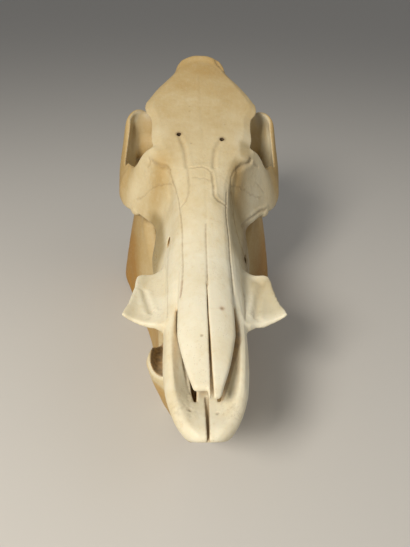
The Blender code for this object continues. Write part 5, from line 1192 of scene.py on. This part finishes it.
def jaw_place(P):
    c, s = math.cos(JAW_TURN), math.sin(JAW_TURN)
    dx, dy = P[:, 0], P[:, 1] - JAW_PIVOT_Y
    return np.stack([c * dx + s * dy, JAW_PIVOT_Y - s * dx + c * dy, np.maximum(P[:, 2], 0.0)], 1)


CRANIAL_NODES = ["braincase"] + [f"{b}_{s}" for b in ("zygomatic_arch", "maxilla", "nasal", "premaxilla") for s in ("left", "right")]
build_piece("cranium", make_cranium(), cranium_detail, cranium_masks, bone("dry bone of the cranium"), CRANIAL_NODES)
build_piece("lower_jaw", make_jaw(), jaw_detail, jaw_masks, bone("dry bone of the lower jaw"), ["mandible"], jaw_place)

# ---------------------------------------------------------------- floor, lights, camera
floor_mesh = bpy.data.meshes.new("floor")
r = 30.0
floor_mesh.from_pydata([(-r, -r, 0), (r, -r, 0), (r, r, 0), (-r, r, 0)], [], [(0, 1, 2, 3)])
floor = bpy.data.objects.new("floor", floor_mesh)
bpy.context.scene.collection.objects.link(floor)
paper = bpy.data.materials.new("pale floor")
paper.use_nodes = True
paper.node_tree.nodes["Principled BSDF"].inputs["Base Color"].default_value = (0.62, 0.61, 0.59, 1)
paper.node_tree.nodes["Principled BSDF"].inputs["Roughness"].default_value = 0.9
floor_mesh.materials.append(paper)

world = bpy.data.worlds.new("studio")
bpy.context.scene.world = world
world.use_nodes = True
world.node_tree.nodes["Background"].inputs[0].default_value = (1.0, 0.98, 0.95, 1)
world.node_tree.nodes["Background"].inputs[1].default_value = 0.21


def soft_light(name, spot, target, size, power, colour):
    data = bpy.data.lights.new(name, "AREA")
    data.size = size
    data.energy = power
    data.color = colour
    ob = bpy.data.objects.new(name, data)
    bpy.context.scene.collection.objects.link(ob)
    ob.location = spot
    ob.rotation_euler = (Vector(target) - Vector(spot)).to_track_quat("-Z", "Y").to_euler()


soft_light("key", (-0.55, -0.75, 0.85), (0, -0.02, 0.1), 0.35, 12.5, (1.0, 0.93, 0.82))
soft_light("fill", (0.9, -0.2, 0.9), (0, 0, 0.1), 0.9, 2.1, (1.0, 0.95, 0.86))
bpy.context.scene.view_settings.view_transform = "Standard"

YAW, PITCH, ROLL, FOCUS = math.radians(-2.97), math.radians(33.88), math.radians(2.03), 450.0
camera = bpy.data.cameras.new("camera")
cam = bpy.data.objects.new("camera", camera)
bpy.context.scene.collection.objects.link(cam)
spot = Vector((-13.5 - CENTRE[0], -152.0 - CENTRE[1], 302.0)) / 1000
ahead = Vector((-math.sin(YAW) * math.cos(PITCH), math.cos(YAW) * math.cos(PITCH), -math.sin(PITCH)))
right = Vector((math.cos(YAW), math.sin(YAW), 0))
up = right.cross(ahead)
r2 = math.cos(ROLL) * right + math.sin(ROLL) * up
u2 = -math.sin(ROLL) * right + math.cos(ROLL) * up
cam.matrix_world = Matrix(((r2.x, u2.x, -ahead.x, spot.x), (r2.y, u2.y, -ahead.y, spot.y), (r2.z, u2.z, -ahead.z, spot.z), (0, 0, 0, 1)))
camera.sensor_fit = "VERTICAL"
camera.sensor_height = 36.0
camera.lens = FOCUS / 547 * 36.0
camera.clip_start = 0.01
bpy.context.scene.camera = cam
